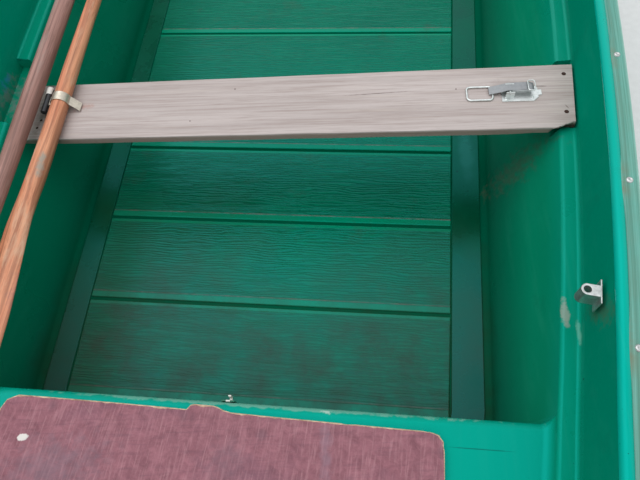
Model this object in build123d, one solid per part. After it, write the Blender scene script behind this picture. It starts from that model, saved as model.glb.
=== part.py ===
from build123d import *
import math
import os

# Small double-skin rowing boat in millimetres: X to starboard, Y to the bow, Z up.
# The origin lies on the ground under the middle of the boat.

# Hull lines
STERN_Y = -1725
STEM_Y = 1838
WIDEST_Y = 250
HALF_BEAM = 811
TRANSOM_HALF_BEAM = 577
STEM_HALF_WIDTH = 62
BOW_FULLNESS = 2.3
SHEER_Z = 560
SHEER_LOW_Y = -700
BOW_RISE = 130
TRANSOM_LEAN = 85
BOTTOM_Z = 36
ROCKER_Y = 500
ROCKER_POWER = 4
STEM_DEPTH = 62
HULL_SKIN = 8
TRANSOM_THICK = 26
LAND = 8
LAND_FADE = 320

# Gunwale, measured inwards from the outer edge of the rub strake
STRAKE_W = 35
STRAKE_H = 28
STRAKE_DROP = 2
STRAKE_EDGE = 8
STERN_CORNER = 0.6
FENDER_DEEP = 34
ROLL_W = 21
ROLL_H = 30
ROLL_EDGE = 6
WALL_IN = 60
LEDGE_W = 34
LINER = 6

# Levels below the gunwale top
LEDGE_DROP = 148
LEDGE_DEEP = 40
BENCH_DROP = 170
BENCH_THICK = 8
BENCH_CLEAR = 0.5
FLOOR_DROP = 426

# Inside plan
BENCH_EDGE_Y = -1220
BOW_FACE_Y = 950
DECK_Y = 1400
FLOOR_HALF = 540
FLOOR_FLARE = 0.035
FLOOR_MARGIN = 46
PANEL_MARGIN = 68
PANEL_RISE = 4
PANEL_PITCH = 250
PANEL_GAP = 9
PANEL_END_GAP = 30
PANEL_FIRST = 40
PANEL_SHORTEST = 40

# Thwart plank and its seats in the ledges
NOTCH_Y = -570
NOTCH_LONG = 220
NOTCH_DEEP = 32
NOTCH_WIDE = 90
PLANK_W = 189
PLANK_THICK = 20
PLANK_PORT_GAP = 49
PLANK_STARBOARD_GAP = 2
PLANK_Y = -506
PLANK_SKEW = 1.85
PLANK_HOLE_R = 3.5
PLANK_HOLE_IN = 26
PLANK_HOLE_SPREAD = 118
PLANK_HOLE_FORWARD = 14
PLANK_END_CUT = 22
PLANK_CHIP_LONG = 60
PLANK_CHIP_WIDE = 18
PLANK_TRIM_LONG = 34
PLANK_TRIM_WIDE = 70

# Keel and bilge runners
KEEL_W = 44
KEEL_FRONT_Y = 1590
KEEL_TIP = 14
RUNNER_X = 250
RUNNER_W = 40
RUNNER_AFT_Y = -1600
RUNNER_FRONT_Y = 300
SEAT = 0.3

# Board on the stern bench
BOARD_LONG = 833
BOARD_GAP = 8
BOARD_FRONT_IN = 18
BOARD_SKEW = -1.25
BOARD_DEEP = 380
BOARD_THICK = 15
BOARD_CORNER = 32

# Hook on the stern bench
HOOK_X = 0
HOOK_PLATE = 26
HOOK_THICK = 3
HOOK_W = 6
HOOK_OUT = 14
HOOK_LIP = 18

# Oars
OAR_LONG = 2080
INNER_LOOM_R = 19
OUTER_LOOM_R = 23
NECK_SHARE = 0.84
GRIP_R = 16
GRIP_LONG = 130
BLADE_LONG = 640
BLADE_W = 98
BLADE_THICK = 12
BLADE_WAIST = 8
RIB_LONG = 280
TAPER_LONG = 320
TIP_LONG = 30
TIP_IN = 6
OAR_SEAT = 0.3
INNER_TIP_IN = 148
INNER_TIP_Y = -1580
INNER_HANDLE_IN = 143
OUTER_TIP_IN = 84
OUTER_TIP_Y = -1480
OUTER_HANDLE_IN = 21
CLAMP_THICK = 2
CLAMP_W = 26
CLAMP_TAB = 38
CLAMP_GAP = 0.2
TAB_TILT = 12
PIN_OUT = 42

# Fittings
SOCKET_Y = -1021
SOCKET_R = 6.5
SOCKET_OUT_R = 11
SOCKET_LONG = 38
SOCKET_IN = 24
SOCKET_PLATE = 3
SOCKET_DROP = 4
PLATE_LONG = 46
PLATE_HIGH = 42
PIN_R = 6
PIN_LONG = 75
INNER_CLAMP_AT = 1070
OUTER_CLAMP_AT = 1480
OUTER_CLAMP_TURN = 90
PAD_W = 320
PAD_LOW_Z = 250
PAD_THICK = 12
DRAIN_Z = 75
DRAIN_R = 15
DRAIN_LONG = 6
DECK_THICK = 8
DECK_CAMBER = 40
LATCH_FROM_END = 163
LATCH_Y = 10
LATCH_LONG = 84
LATCH_W = 52
LATCH_CORNER = 12
LATCH_THICK = 2
LATCH_TAB = 8
LATCH_TAB_W = 16
LATCH_EAR = 20
LATCH_EAR_AT = 8
LEVER_W = 24
LEVER_AFT = 34
LEVER_LONG = 68
LEVER_HIGH = 18
LEVER_CLAW = 5
BAIL_LONG = 62
BAIL_UNDER = 18
BAIL_W = 46
BAIL_WIRE = 4
EYE_Y = 1690
EYE_R = 20
EYE_WIRE = 4
EYE_PLATE_OUT = 12
EYE_PLATE_W = 22


def smooth(low, high, value):
    """Blend from 0 at low to 1 at high."""
    share = min(1.0, max(0.0, (value - low) / (high - low)))
    return share * share * (3 - 2 * share)


def half_beam(y):
    """Half width over the rub strakes."""
    if y < WIDEST_Y:
        share = (WIDEST_Y - y) / (WIDEST_Y - STERN_Y + TRANSOM_LEAN)
        return HALF_BEAM - (HALF_BEAM - TRANSOM_HALF_BEAM) * share**2
    share = (y - WIDEST_Y) / (STEM_Y - WIDEST_Y)
    return STEM_HALF_WIDTH + (HALF_BEAM - STEM_HALF_WIDTH) * (1 - share**BOW_FULLNESS)


def sheer(y):
    """Height of the gunwale top."""
    share = max(0, y - SHEER_LOW_Y) / (STEM_Y - SHEER_LOW_Y)
    return SHEER_Z + BOW_RISE * share**2


def bottom(y):
    """Height of the hull skin on the centreline."""
    if y < ROCKER_Y:
        return BOTTOM_Z
    share = (y - ROCKER_Y) / (STEM_Y - ROCKER_Y)
    return BOTTOM_Z + (sheer(STEM_Y) - STEM_DEPTH - BOTTOM_Z) * share**ROCKER_POWER


def place(x, y, z):
    """A point of the boat, leant aft near the transom."""
    weight = min(1.0, max(0.0, (BENCH_EDGE_Y - y) / (BENCH_EDGE_Y - STERN_Y)))
    return Vector(x, y - TRANSOM_LEAN * weight * z / SHEER_Z, z)


# Plank lands from keel to gunwale: breadth and height shares amidships, then at the bow
LANDS = [
    (0.50, 0.02, 0.22, 0.10),
    (0.78, 0.07, 0.40, 0.23),
    (0.905, 0.19, 0.56, 0.39),
    (0.955, 0.42, 0.71, 0.57),
    (0.99, 0.70, 0.86, 0.77),
    (1.00, 1.00, 1.00, 1.00),
]


def land_corners(y):
    """Corners of the planking on the starboard side, from the keel to the top."""
    bow = smooth(0, STEM_Y, y)
    top = sheer(y) - ROLL_H
    wide = half_beam(y) - STRAKE_W
    points = [(0.0, bottom(y))]
    for mid_x, mid_z, bow_x, bow_z in LANDS:
        x = wide * (mid_x + (bow_x - mid_x) * bow)
        z = bottom(y) + (top - bottom(y)) * (mid_z + (bow_z - mid_z) * bow)
        points.append((x, z))
    return points


def outward(start, end):
    """Unit normal of a planking stretch, pointing out of the hull."""
    dx, dz = end[0] - start[0], end[1] - start[1]
    long = math.hypot(dx, dz)
    return dz / long, -dx / long


def outer_side(y):
    """Starboard outline of the hull with its overlapping planks."""
    corners = land_corners(y)
    step = LAND * min(1.0, (STEM_Y - y) / LAND_FADE + 0.15)
    points = [corners[0], corners[1]]
    for lower, upper in zip(corners[1:-1], corners[2:]):
        nx, nz = outward(lower, upper)
        points.append((lower[0] + nx * step, lower[1] + nz * step))
        points.append(upper)
    return points


def inner_side(y):
    """Starboard inside of the hull skin."""
    corners = land_corners(y)
    points = [(0.0, corners[0][1] + HULL_SKIN)]
    for before, here, after in zip(corners[:-2], corners[1:-1], corners[2:]):
        ax, az = outward(before, here)
        bx, bz = outward(here, after)
        points.append((here[0] - HULL_SKIN * (ax + bx) / 2, here[1] - HULL_SKIN * (az + bz) / 2))
    points.append((corners[-1][0] - HULL_SKIN, corners[-1][1]))
    return points


def hull_inside(y, z):
    """Half width inside the hull skin at a height."""
    points = inner_side(y)
    for (xa, za), (xb, zb) in zip(points[:-1], points[1:]):
        if za <= z <= zb:
            return xa + (xb - xa) * (z - za) / (zb - za)
    return points[-1][0]


def wall_foot(y):
    """Half width at the foot of the upper wall, where the ledge starts."""
    low = sheer(y) - LEDGE_DROP - LEDGE_DEEP
    return min(half_beam(y) - WALL_IN, hull_inside(y, low) - LINER - 2)


def ledge_inner(y):
    return wall_foot(y) - LEDGE_W


def floor_z(y):
    return SHEER_Z - FLOOR_DROP


def floor_half(y):
    """Half width of the cockpit floor."""
    wanted = FLOOR_HALF + FLOOR_FLARE * (y - BENCH_EDGE_Y)
    return min(wanted, hull_inside(y, floor_z(y) - LINER) - FLOOR_MARGIN)


def wall_x(y, drop):
    """Half width on the sloping lower wall at a drop below the gunwale."""
    top_z = sheer(y) - LEDGE_DROP
    slope = (ledge_inner(y) - floor_half(y)) / (top_z - floor_z(y))
    return ledge_inner(y) - slope * (drop - LEDGE_DROP)


STATIONS = [STERN_Y, RUNNER_AFT_Y, -1420, BENCH_EDGE_Y - BENCH_THICK, BENCH_EDGE_Y]
STATIONS += [-950, -760, -560, -340, -120, 100, RUNNER_FRONT_Y, 500, 680, 830]
STATIONS += [BOW_FACE_Y, BOW_FACE_Y + BENCH_THICK, 1070, 1180, 1290, DECK_Y]
STATIONS += [1500, KEEL_FRONT_Y, 1670, 1740, 1795, STEM_Y]


def between(measure, y):
    """A measure taken on the straight line between the stations around a place."""
    low = max(s for s in STATIONS if s <= y)
    high = min(s for s in STATIONS if s > y)
    return measure(low) + (measure(high) - measure(low)) * (y - low) / (high - low)


def ring(y, points):
    """A closed section across the boat."""
    return Wire.make_polygon([place(x, y, z) for x, z in points], close=True)


def along(section, low, high):
    """A solid through one section at every station from low to high."""
    rings = [ring(y, section(y)) for y in STATIONS if low <= y <= high]
    return Solid.make_loft(rings, ruled=True)


def mirrored(points):
    return [(-x, z) for x, z in points]


parts = {}


def keep(name, shape):
    parts[name] = shape


# Outer hull
def hull_section(y):
    outer = outer_side(y)
    inner = inner_side(y)
    right = outer + list(reversed(inner))
    left = [(-x, z) for x, z in inner[1:]] + [(-x, z) for x, z in reversed(outer[1:])]
    return right + left


def solid_section(y):
    outer = outer_side(y)
    return outer + [(-x, z) for x, z in reversed(outer[1:])]


keep("hull_shell", along(hull_section, STERN_Y, STEM_Y))


def cross_plate(points, at, low, high):
    """A plate across the boat between two distances from a station."""
    rings = []
    for shift in (low, high):
        line = [place(x, at, z) + Vector(0, shift, 0) for x, z in points]
        rings.append(Wire.make_polygon(line, close=True))
    return Solid.make_loft(rings, ruled=True)


keep("transom", cross_plate(solid_section(STERN_Y), STERN_Y, -TRANSOM_THICK, 0))
keep("stem_cap", cross_plate(solid_section(STEM_Y), STEM_Y, 0, HULL_SKIN))

# Keel and bilge runners
def skin_under(y, x):
    """Height of the lowest plank's underside at a breadth."""
    near, far = land_corners(y)[:2]
    return near[1] + (far[1] - near[1]) * x / far[0]


def keel_section(y):
    share = max(0, y - ROCKER_Y) / (KEEL_FRONT_Y - ROCKER_Y)
    low = bottom(y) - BOTTOM_Z - (KEEL_TIP - BOTTOM_Z) * share
    half = KEEL_W / 2
    side, mid = skin_under(y, half) - SEAT, bottom(y) - SEAT
    return [(-half, low), (half, low), (half, side), (0, mid), (-half, side)]


keep("keel", along(keel_section, STERN_Y, KEEL_FRONT_Y))


def runner_section(y):
    inside, outside = RUNNER_X - RUNNER_W / 2, RUNNER_X + RUNNER_W / 2
    high_in, high_out = skin_under(y, inside) - SEAT, skin_under(y, outside) - SEAT
    return [(inside, 0), (outside, 0), (outside, high_out), (inside, high_in)]


keep("runner_starboard", along(runner_section, RUNNER_AFT_Y, RUNNER_FRONT_Y))
keep("runner_port", along(lambda y: mirrored(runner_section(y)), RUNNER_AFT_Y, RUNNER_FRONT_Y))


# Inner lining: upper walls, ledges, side panels, floor
stern_level = sheer(BENCH_EDGE_Y) - BENCH_DROP
bow_level = sheer(BOW_FACE_Y) - BENCH_DROP


def lining_back(y):
    """Line at the back of the upper wall and the ledge, from the bottom to the top."""
    low_z = sheer(y) - LEDGE_DROP - LEDGE_DEEP
    if y > BOW_FACE_Y:
        low_z = min(low_z, bow_level - BENCH_THICK)
    low_x = min(wall_foot(y) + LINER, hull_inside(y, low_z)) - 1
    high_x, high_z = half_beam(y) - WALL_IN + LINER, sheer(y) - ROLL_H
    shelf = sheer(y) - LEDGE_DROP
    shelf_x = low_x + (high_x - low_x) * (shelf - low_z) / (high_z - low_z)
    return (low_x, low_z), (shelf_x, shelf), (high_x, high_z)


def upper_wall_section(y):
    low, shelf, high = lining_back(y)
    return [(high[0] - LINER, high[1]), (wall_foot(y), shelf[1]), shelf, high]


def ledge_section(y):
    low, shelf, high = lining_back(y)
    return [shelf, (ledge_inner(y), shelf[1]), (wall_x(y, sheer(y) - low[1]), low[1]), low]


def panel_section(y):
    low = wall_x(y, LEDGE_DROP + LEDGE_DEEP)
    high_z = sheer(y) - LEDGE_DROP - LEDGE_DEEP
    foot, foot_z = floor_half(y), floor_z(y)
    return [(low, high_z), (foot, foot_z), (foot + LINER, foot_z), (low + LINER, high_z)]


def floor_section(y):
    wide, high, low = floor_half(y) + LINER, floor_z(y), floor_z(y) - LINER
    return [(wide, high), (-wide, high), (-wide, low), (wide, low)]


notch_z = sheer(NOTCH_Y) - LEDGE_DROP - NOTCH_DEEP
notch_aft = between(wall_foot, NOTCH_Y) - SEAT
notch_fore = between(wall_foot, NOTCH_Y + NOTCH_LONG) - SEAT
notch_plan = [(notch_aft, NOTCH_Y), (notch_fore, NOTCH_Y + NOTCH_LONG),
              (notch_fore - NOTCH_WIDE, NOTCH_Y + NOTCH_LONG), (notch_aft - NOTCH_WIDE, NOTCH_Y)]
for side, flip in (("starboard", 1), ("port", -1)):
    ledge = along(lambda y: [(flip * x, z) for x, z in ledge_section(y)], STERN_Y, DECK_Y)
    seat_line = Polyline(*[(flip * x, y) for x, y in notch_plan], close=True)
    seat = extrude(make_face(seat_line), 2 * NOTCH_DEEP)
    ledge -= seat.moved(Location((0, 0, notch_z)))
    keep("ledge_" + side, ledge)
    keep("upper_wall_" + side, along(lambda y: [(flip * x, z) for x, z in upper_wall_section(y)],
                                     STERN_Y, DECK_Y))
    keep("side_panel_" + side, along(lambda y: [(flip * x, z) for x, z in panel_section(y)],
                                     BENCH_EDGE_Y - BENCH_THICK, BOW_FACE_Y + BENCH_THICK))

keep("floor", along(floor_section, BENCH_EDGE_Y - BENCH_THICK, BOW_FACE_Y + BENCH_THICK))

# Imitation floor planks, split by open grooves
planks = []
groove = BENCH_EDGE_Y + PANEL_FIRST + PANEL_PITCH
edges = [BENCH_EDGE_Y + PANEL_END_GAP]
while groove < BOW_FACE_Y - PANEL_END_GAP - PANEL_SHORTEST:
    edges.append(groove)
    groove += PANEL_PITCH
edges.append(BOW_FACE_Y - PANEL_END_GAP)
for aft, fore in zip(edges[:-1], edges[1:]):
    low, high = aft + PANEL_GAP / 2, fore - PANEL_GAP / 2
    wide_low = floor_half(low) - PANEL_MARGIN
    wide_high = floor_half(high) - PANEL_MARGIN
    outline = [(-wide_low, low), (wide_low, low), (wide_high, high), (-wide_high, high)]
    face = Face(Wire.make_polygon([Vector(x, y, floor_z(y)) for x, y in outline], close=True))
    planks.append(Solid.extrude(face, Vector(0, 0, PANEL_RISE)))
keep("floor_planks", Compound(planks))


# Benches
def bench_top(y, level):
    low = level - BENCH_THICK
    wide_high = wall_x(y, sheer(y) - level) - BENCH_CLEAR
    wide_low = wall_x(y, sheer(y) - low) - BENCH_CLEAR
    return [(wide_high, level), (-wide_high, level), (-wide_low, low), (wide_low, low)]


def bench_face(y, level):
    high = level - BENCH_THICK
    wide_high = wall_x(y, sheer(y) - high)
    wide_low, low = floor_half(y), floor_z(y)
    return [(wide_high, high), (-wide_high, high), (-wide_low, low), (wide_low, low)]


stern_bench = along(lambda y: bench_top(y, stern_level), STERN_Y, BENCH_EDGE_Y)
stern_bench += along(lambda y: bench_face(y, stern_level), BENCH_EDGE_Y - BENCH_THICK, BENCH_EDGE_Y)
keep("stern_bench", stern_bench)
bow_bench = along(lambda y: bench_top(y, bow_level), BOW_FACE_Y, DECK_Y)
bow_bench += along(lambda y: bench_face(y, bow_level), BOW_FACE_Y, BOW_FACE_Y + BENCH_THICK)
keep("bow_bench", bow_bench)

# Gunwale roll and rub strakes
def roll_section(y):
    edge, top = half_beam(y) - STRAKE_W, sheer(y)
    inner = edge - ROLL_W
    low = top - ROLL_H
    return [(edge, low), (edge, top - ROLL_EDGE), (edge - ROLL_EDGE, top), (inner + ROLL_EDGE, top),
            (inner, top - ROLL_EDGE), (inner, low + ROLL_EDGE), (inner + ROLL_EDGE, low)]


def strake_section(y):
    edge, top = half_beam(y), sheer(y) - STRAKE_DROP
    low = top - STRAKE_H
    back, rim = edge - STRAKE_W, edge - STRAKE_EDGE
    return [(back, top), (rim, top), (edge, top - STRAKE_EDGE), (edge, low + STRAKE_EDGE),
            (rim, low), (back, low)]


for side, flip in (("starboard", 1), ("port", -1)):
    roll = along(lambda y: [(flip * x, z) for x, z in roll_section(y)], STERN_Y, STEM_Y)
    keep("gunwale_" + side, roll)
    strake = along(lambda y: [(flip * x, z) for x, z in strake_section(y)], STERN_Y, STEM_Y)
    keep("rub_strake_" + side, strake)


def plan_block(outline, at, low, high):
    """A level solid from a plan outline that is given from a station aft or forward."""
    rings = []
    for z in (low, high):
        points = [place(x, at, z) + Vector(0, y, 0) for x, y in outline]
        rings.append(Wire.make_polygon(points, close=True))
    return Solid.make_loft(rings, ruled=True)


stern_hull = half_beam(STERN_Y) - STRAKE_W
stern_out = half_beam(STERN_Y)
stern_top = sheer(STERN_Y)
rail = [(stern_hull, 0), (stern_hull, -TRANSOM_THICK), (-stern_hull, -TRANSOM_THICK), (-stern_hull, 0)]
keep("gunwale_stern", plan_block(rail, STERN_Y, stern_top - ROLL_H, stern_top))
back = -TRANSOM_THICK - STRAKE_W
corner = STRAKE_W * STERN_CORNER
wrap = [(stern_out, 0), (stern_out, back + corner), (stern_out - corner, back),
        (corner - stern_out, back), (-stern_out, back + corner), (-stern_out, 0),
        (-stern_hull, 0), (-stern_hull, -TRANSOM_THICK), (stern_hull, -TRANSOM_THICK), (stern_hull, 0)]
strake_top = stern_top - STRAKE_DROP
keep("rub_strake_stern", plan_block(wrap, STERN_Y, strake_top - STRAKE_H, strake_top))
nose = [(STEM_HALF_WIDTH, 0), (0.8 * STEM_HALF_WIDTH, 0.65 * FENDER_DEEP)]
nose.append((0.4 * STEM_HALF_WIDTH, FENDER_DEEP))
nose += [(-x, y) for x, y in reversed(nose)]
bow_top = sheer(STEM_Y) - STRAKE_DROP
keep("bow_fender", plan_block(nose, STEM_Y, bow_top - STRAKE_H, bow_top))


# Lining across the stern, outboard pad and drain plug
def stern_wall_section(y):
    top = sheer(y) - ROLL_EDGE
    shelf = sheer(y) - LEDGE_DROP
    right = [(wall_x(y, BENCH_DROP), sheer(y) - BENCH_DROP), (ledge_inner(y), shelf), (wall_foot(y), shelf),
             (half_beam(y) - WALL_IN, sheer(y) - ROLL_H), (half_beam(y) - WALL_IN, top)]
    return right + [(-x, z) for x, z in reversed(right)]


keep("stern_wall", cross_plate(stern_wall_section(STERN_Y), STERN_Y, 0, LINER))
pad_top = stern_top - ROLL_H
pad = [(PAD_W / 2, PAD_LOW_Z), (PAD_W / 2, pad_top), (-PAD_W / 2, pad_top), (-PAD_W / 2, PAD_LOW_Z)]
keep("transom_pad", cross_plate(pad, STERN_Y, -TRANSOM_THICK - PAD_THICK, -TRANSOM_THICK))

lean = math.degrees(math.atan(TRANSOM_LEAN / SHEER_Z))
plug_foot = place(0, STERN_Y, DRAIN_Z) + Vector(0, -TRANSOM_THICK, 0)
plug = Cylinder(DRAIN_R, DRAIN_LONG, align=(Align.CENTER, Align.CENTER, Align.MIN))
plug += Cylinder(DRAIN_R / 2, 2 * DRAIN_LONG, align=(Align.CENTER, Align.CENTER, Align.MIN))
keep("drain_plug", plug.moved(Location(plug_foot) * Location((0, 0, 0), (90 + lean, 0, 0))))


# Small raised deck at the bow with its bulkhead
def deck_section(y):
    top = sheer(y) - ROLL_H
    wide = hull_inside(y, top - DECK_THICK) - SEAT
    clear = half_beam(y) - STRAKE_W - ROLL_W
    rise = DECK_CAMBER * wide / HALF_BEAM
    return [(wide, top), (clear, top), (0, top + rise), (-clear, top), (-wide, top),
            (-wide, top - DECK_THICK), (wide, top - DECK_THICK)]


def bulkhead_section(y):
    top = sheer(y) - ROLL_H - DECK_THICK - SEAT
    levels = [bow_level - BENCH_THICK, (bow_level + top) / 2, top]
    right = [(hull_inside(y + LINER, z) - SEAT, z) for z in levels]
    return right + [(-x, z) for x, z in reversed(right)]


keep("foredeck", along(deck_section, DECK_Y, STEM_Y))
keep("bow_bulkhead", cross_plate(bulkhead_section(DECK_Y), DECK_Y, 0, LINER))

# Thwart plank, lying askew: its port end in the seat, its starboard end on the ledge
port_edge = PLANK_PORT_GAP - between(wall_foot, PLANK_Y + PLANK_W / 2)
starboard_edge = between(wall_foot, PLANK_Y + PLANK_W / 2) - PLANK_STARBOARD_GAP
half_l, half_w = (starboard_edge - port_edge) / 2, PLANK_W / 2
plank_x = port_edge + half_l
rest_x = between(ledge_inner, PLANK_Y)
rest_z = sheer(PLANK_Y) - LEDGE_DROP
plank_tilt = math.degrees(math.atan2(rest_z - notch_z, rest_x - port_edge))
plank_z = notch_z + SEAT + (plank_x - port_edge) * math.tan(math.radians(plank_tilt))
plank_frame = Location((plank_x, PLANK_Y, plank_z)) * Location((0, 0, 0), (0, -plank_tilt, PLANK_SKEW))
plank_outline = [(-half_l, half_w), (-half_l, PLANK_TRIM_WIDE - half_w),
                 (PLANK_TRIM_LONG - half_l, -half_w), (half_l - PLANK_END_CUT - PLANK_CHIP_LONG, -half_w),
                 (half_l - PLANK_END_CUT, PLANK_CHIP_WIDE - half_w), (half_l, half_w)]
plank = extrude(make_face(Polyline(*plank_outline, close=True)), PLANK_THICK)
for y in (-PLANK_HOLE_SPREAD / 2, PLANK_HOLE_SPREAD / 2):
    hole = Cylinder(PLANK_HOLE_R, 3 * PLANK_THICK)
    plank -= hole.moved(Location((half_l - PLANK_HOLE_IN, y + PLANK_HOLE_FORWARD, 0)))
keep("thwart_plank", plank.moved(plank_frame))

# Toggle latch on the plank: base with two ears and a tab, curved lever and wire bail
on_plank = plank_frame * Location((half_l - LATCH_FROM_END, LATCH_Y, PLANK_THICK))
half_base, half_tab = LATCH_W / 2, LATCH_TAB_W / 2
base_line = [(0, -half_base), (LATCH_LONG - LATCH_CORNER, -half_base),
             (LATCH_LONG, LATCH_CORNER - half_base),
             (LATCH_LONG, -half_tab), (LATCH_LONG + LATCH_TAB, -half_tab),
             (LATCH_LONG + LATCH_TAB, half_tab), (LATCH_LONG, half_tab),
             (LATCH_LONG, half_base - LATCH_CORNER), (LATCH_LONG - LATCH_CORNER, half_base), (0, half_base)]
base = extrude(make_face(Polyline(*base_line, close=True)), LATCH_THICK)
ear_y = LEVER_W / 2 + SEAT + LATCH_THICK / 2
for y in (-ear_y, ear_y):
    ear = Box(LATCH_EAR, LATCH_THICK, LEVER_HIGH, align=(Align.MIN, Align.CENTER, Align.MIN))
    base += ear.moved(Location((LATCH_EAR_AT, y, 0)))
keep("latch_base", base.moved(on_plank))
lever_top = [(-LEVER_AFT, LEVER_CLAW), (-LEVER_AFT / 3, LEVER_HIGH * 0.6),
             (LATCH_EAR_AT, LEVER_HIGH * 0.95),
             (LEVER_LONG * 0.8, LEVER_HIGH), (LEVER_LONG, LEVER_HIGH * 0.8)]
lever_line = lever_top + [(x, z - LATCH_THICK) for x, z in reversed(lever_top)]
lever = extrude(Plane.XZ * make_face(Polyline(*lever_line, close=True)), LEVER_W)
keep("latch_lever", lever.moved(on_plank * Location((0, LEVER_W / 2, 0))))
bail = Box(BAIL_LONG, BAIL_W, BAIL_WIRE, align=(Align.MAX, Align.CENTER, Align.MIN))
bail_hole = Box(BAIL_LONG - 2 * BAIL_WIRE, BAIL_W - 2 * BAIL_WIRE, 3 * BAIL_WIRE)
bail -= bail_hole.moved(Location((-BAIL_LONG / 2, 0, 0)))
keep("latch_bail", bail.moved(on_plank * Location((-BAIL_UNDER, 0, 0))))


# Oars lie from a place near the port wall at the stern to another at their handles
def oar_run(tip_y, tip_in, handle_in):
    """Where an oar's blade ends, and how far its handle slants to port in degrees."""
    tip_x = tip_in - wall_foot(BENCH_EDGE_Y)
    handle_x = handle_in - between(wall_foot, tip_y + OAR_LONG)
    return tip_x, math.degrees(math.asin((tip_x - handle_x) / OAR_LONG))


inner_x, inner_slant = oar_run(INNER_TIP_Y, INNER_TIP_IN, INNER_HANDLE_IN)
outer_x, outer_slant = oar_run(OUTER_TIP_Y, OUTER_TIP_IN, OUTER_HANDLE_IN)

# Loose board on the stern bench, beside the inner oar's blade
board_left = inner_x + BLADE_W / 2 + BOARD_GAP
board_line = [(0, -BOARD_CORNER / 2), (BOARD_CORNER, 0), (BOARD_LONG - BOARD_CORNER, 0),
              (BOARD_LONG, -BOARD_CORNER), (BOARD_LONG, -BOARD_DEEP), (0, -BOARD_DEEP)]
board = extrude(make_face(Polyline(*board_line, close=True)), BOARD_THICK)
board_frame = Location((board_left, BENCH_EDGE_Y - BOARD_FRONT_IN, stern_level), (0, 0, BOARD_SKEW))
keep("bench_board", board.moved(board_frame))

# Small hook on the face of the stern bench
hook_plate = Box(HOOK_PLATE, HOOK_THICK, HOOK_PLATE, align=(Align.CENTER, Align.MIN, Align.MAX))
hook_arm = Box(HOOK_W, HOOK_OUT, HOOK_THICK, align=(Align.CENTER, Align.MIN, Align.MAX))
hook_lip = Box(HOOK_W, HOOK_THICK, HOOK_LIP, align=(Align.CENTER, Align.MAX, Align.MIN))
hook = hook_plate + hook_arm.moved(Location((0, 0, HOOK_THICK - HOOK_PLATE)))
hook += hook_lip.moved(Location((0, HOOK_OUT, -HOOK_PLATE)))
keep("bench_hook", hook.moved(Location((HOOK_X, BENCH_EDGE_Y + SEAT, stern_level - BENCH_THICK))))


# Oars: the blade end is the local origin and the loom runs along local Y
def oar_solid(loom_r):
    """Round loom that runs out along a flat blade, with a thinner grip at the far end."""
    grip_start = OAR_LONG - GRIP_LONG
    neck_r = loom_r * NECK_SHARE
    line = [(0, BLADE_LONG - RIB_LONG), (neck_r, BLADE_LONG), (loom_r, BLADE_LONG + TAPER_LONG),
            (loom_r, grip_start - TAPER_LONG / 2), (GRIP_R, grip_start), (GRIP_R, OAR_LONG), (0, OAR_LONG)]
    loom = revolve(make_face(Polyline(*line, close=True)), Axis.Y)
    wide = BLADE_W / 2
    side = [(neck_r, BLADE_LONG), (wide - BLADE_WAIST, BLADE_LONG / 2), (wide, BLADE_LONG / 5),
            (wide - TIP_IN, TIP_LONG)]
    tip = ThreePointArc((wide - TIP_IN, TIP_LONG), (0, 0), (TIP_IN - wide, TIP_LONG))
    edges = Polyline(*side).edges() + tip.edges()
    edges += Polyline(*[(-x, y) for x, y in reversed(side)]).edges()
    edges += Line((-neck_r, BLADE_LONG), (neck_r, BLADE_LONG)).edges()
    return loom + extrude(make_face(Wire(edges)), BLADE_THICK / 2, both=True)


def plank_top(x):
    """Height of the plank's upper face."""
    return plank_z + PLANK_THICK + (x - plank_x) * math.tan(math.radians(plank_tilt))


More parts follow.
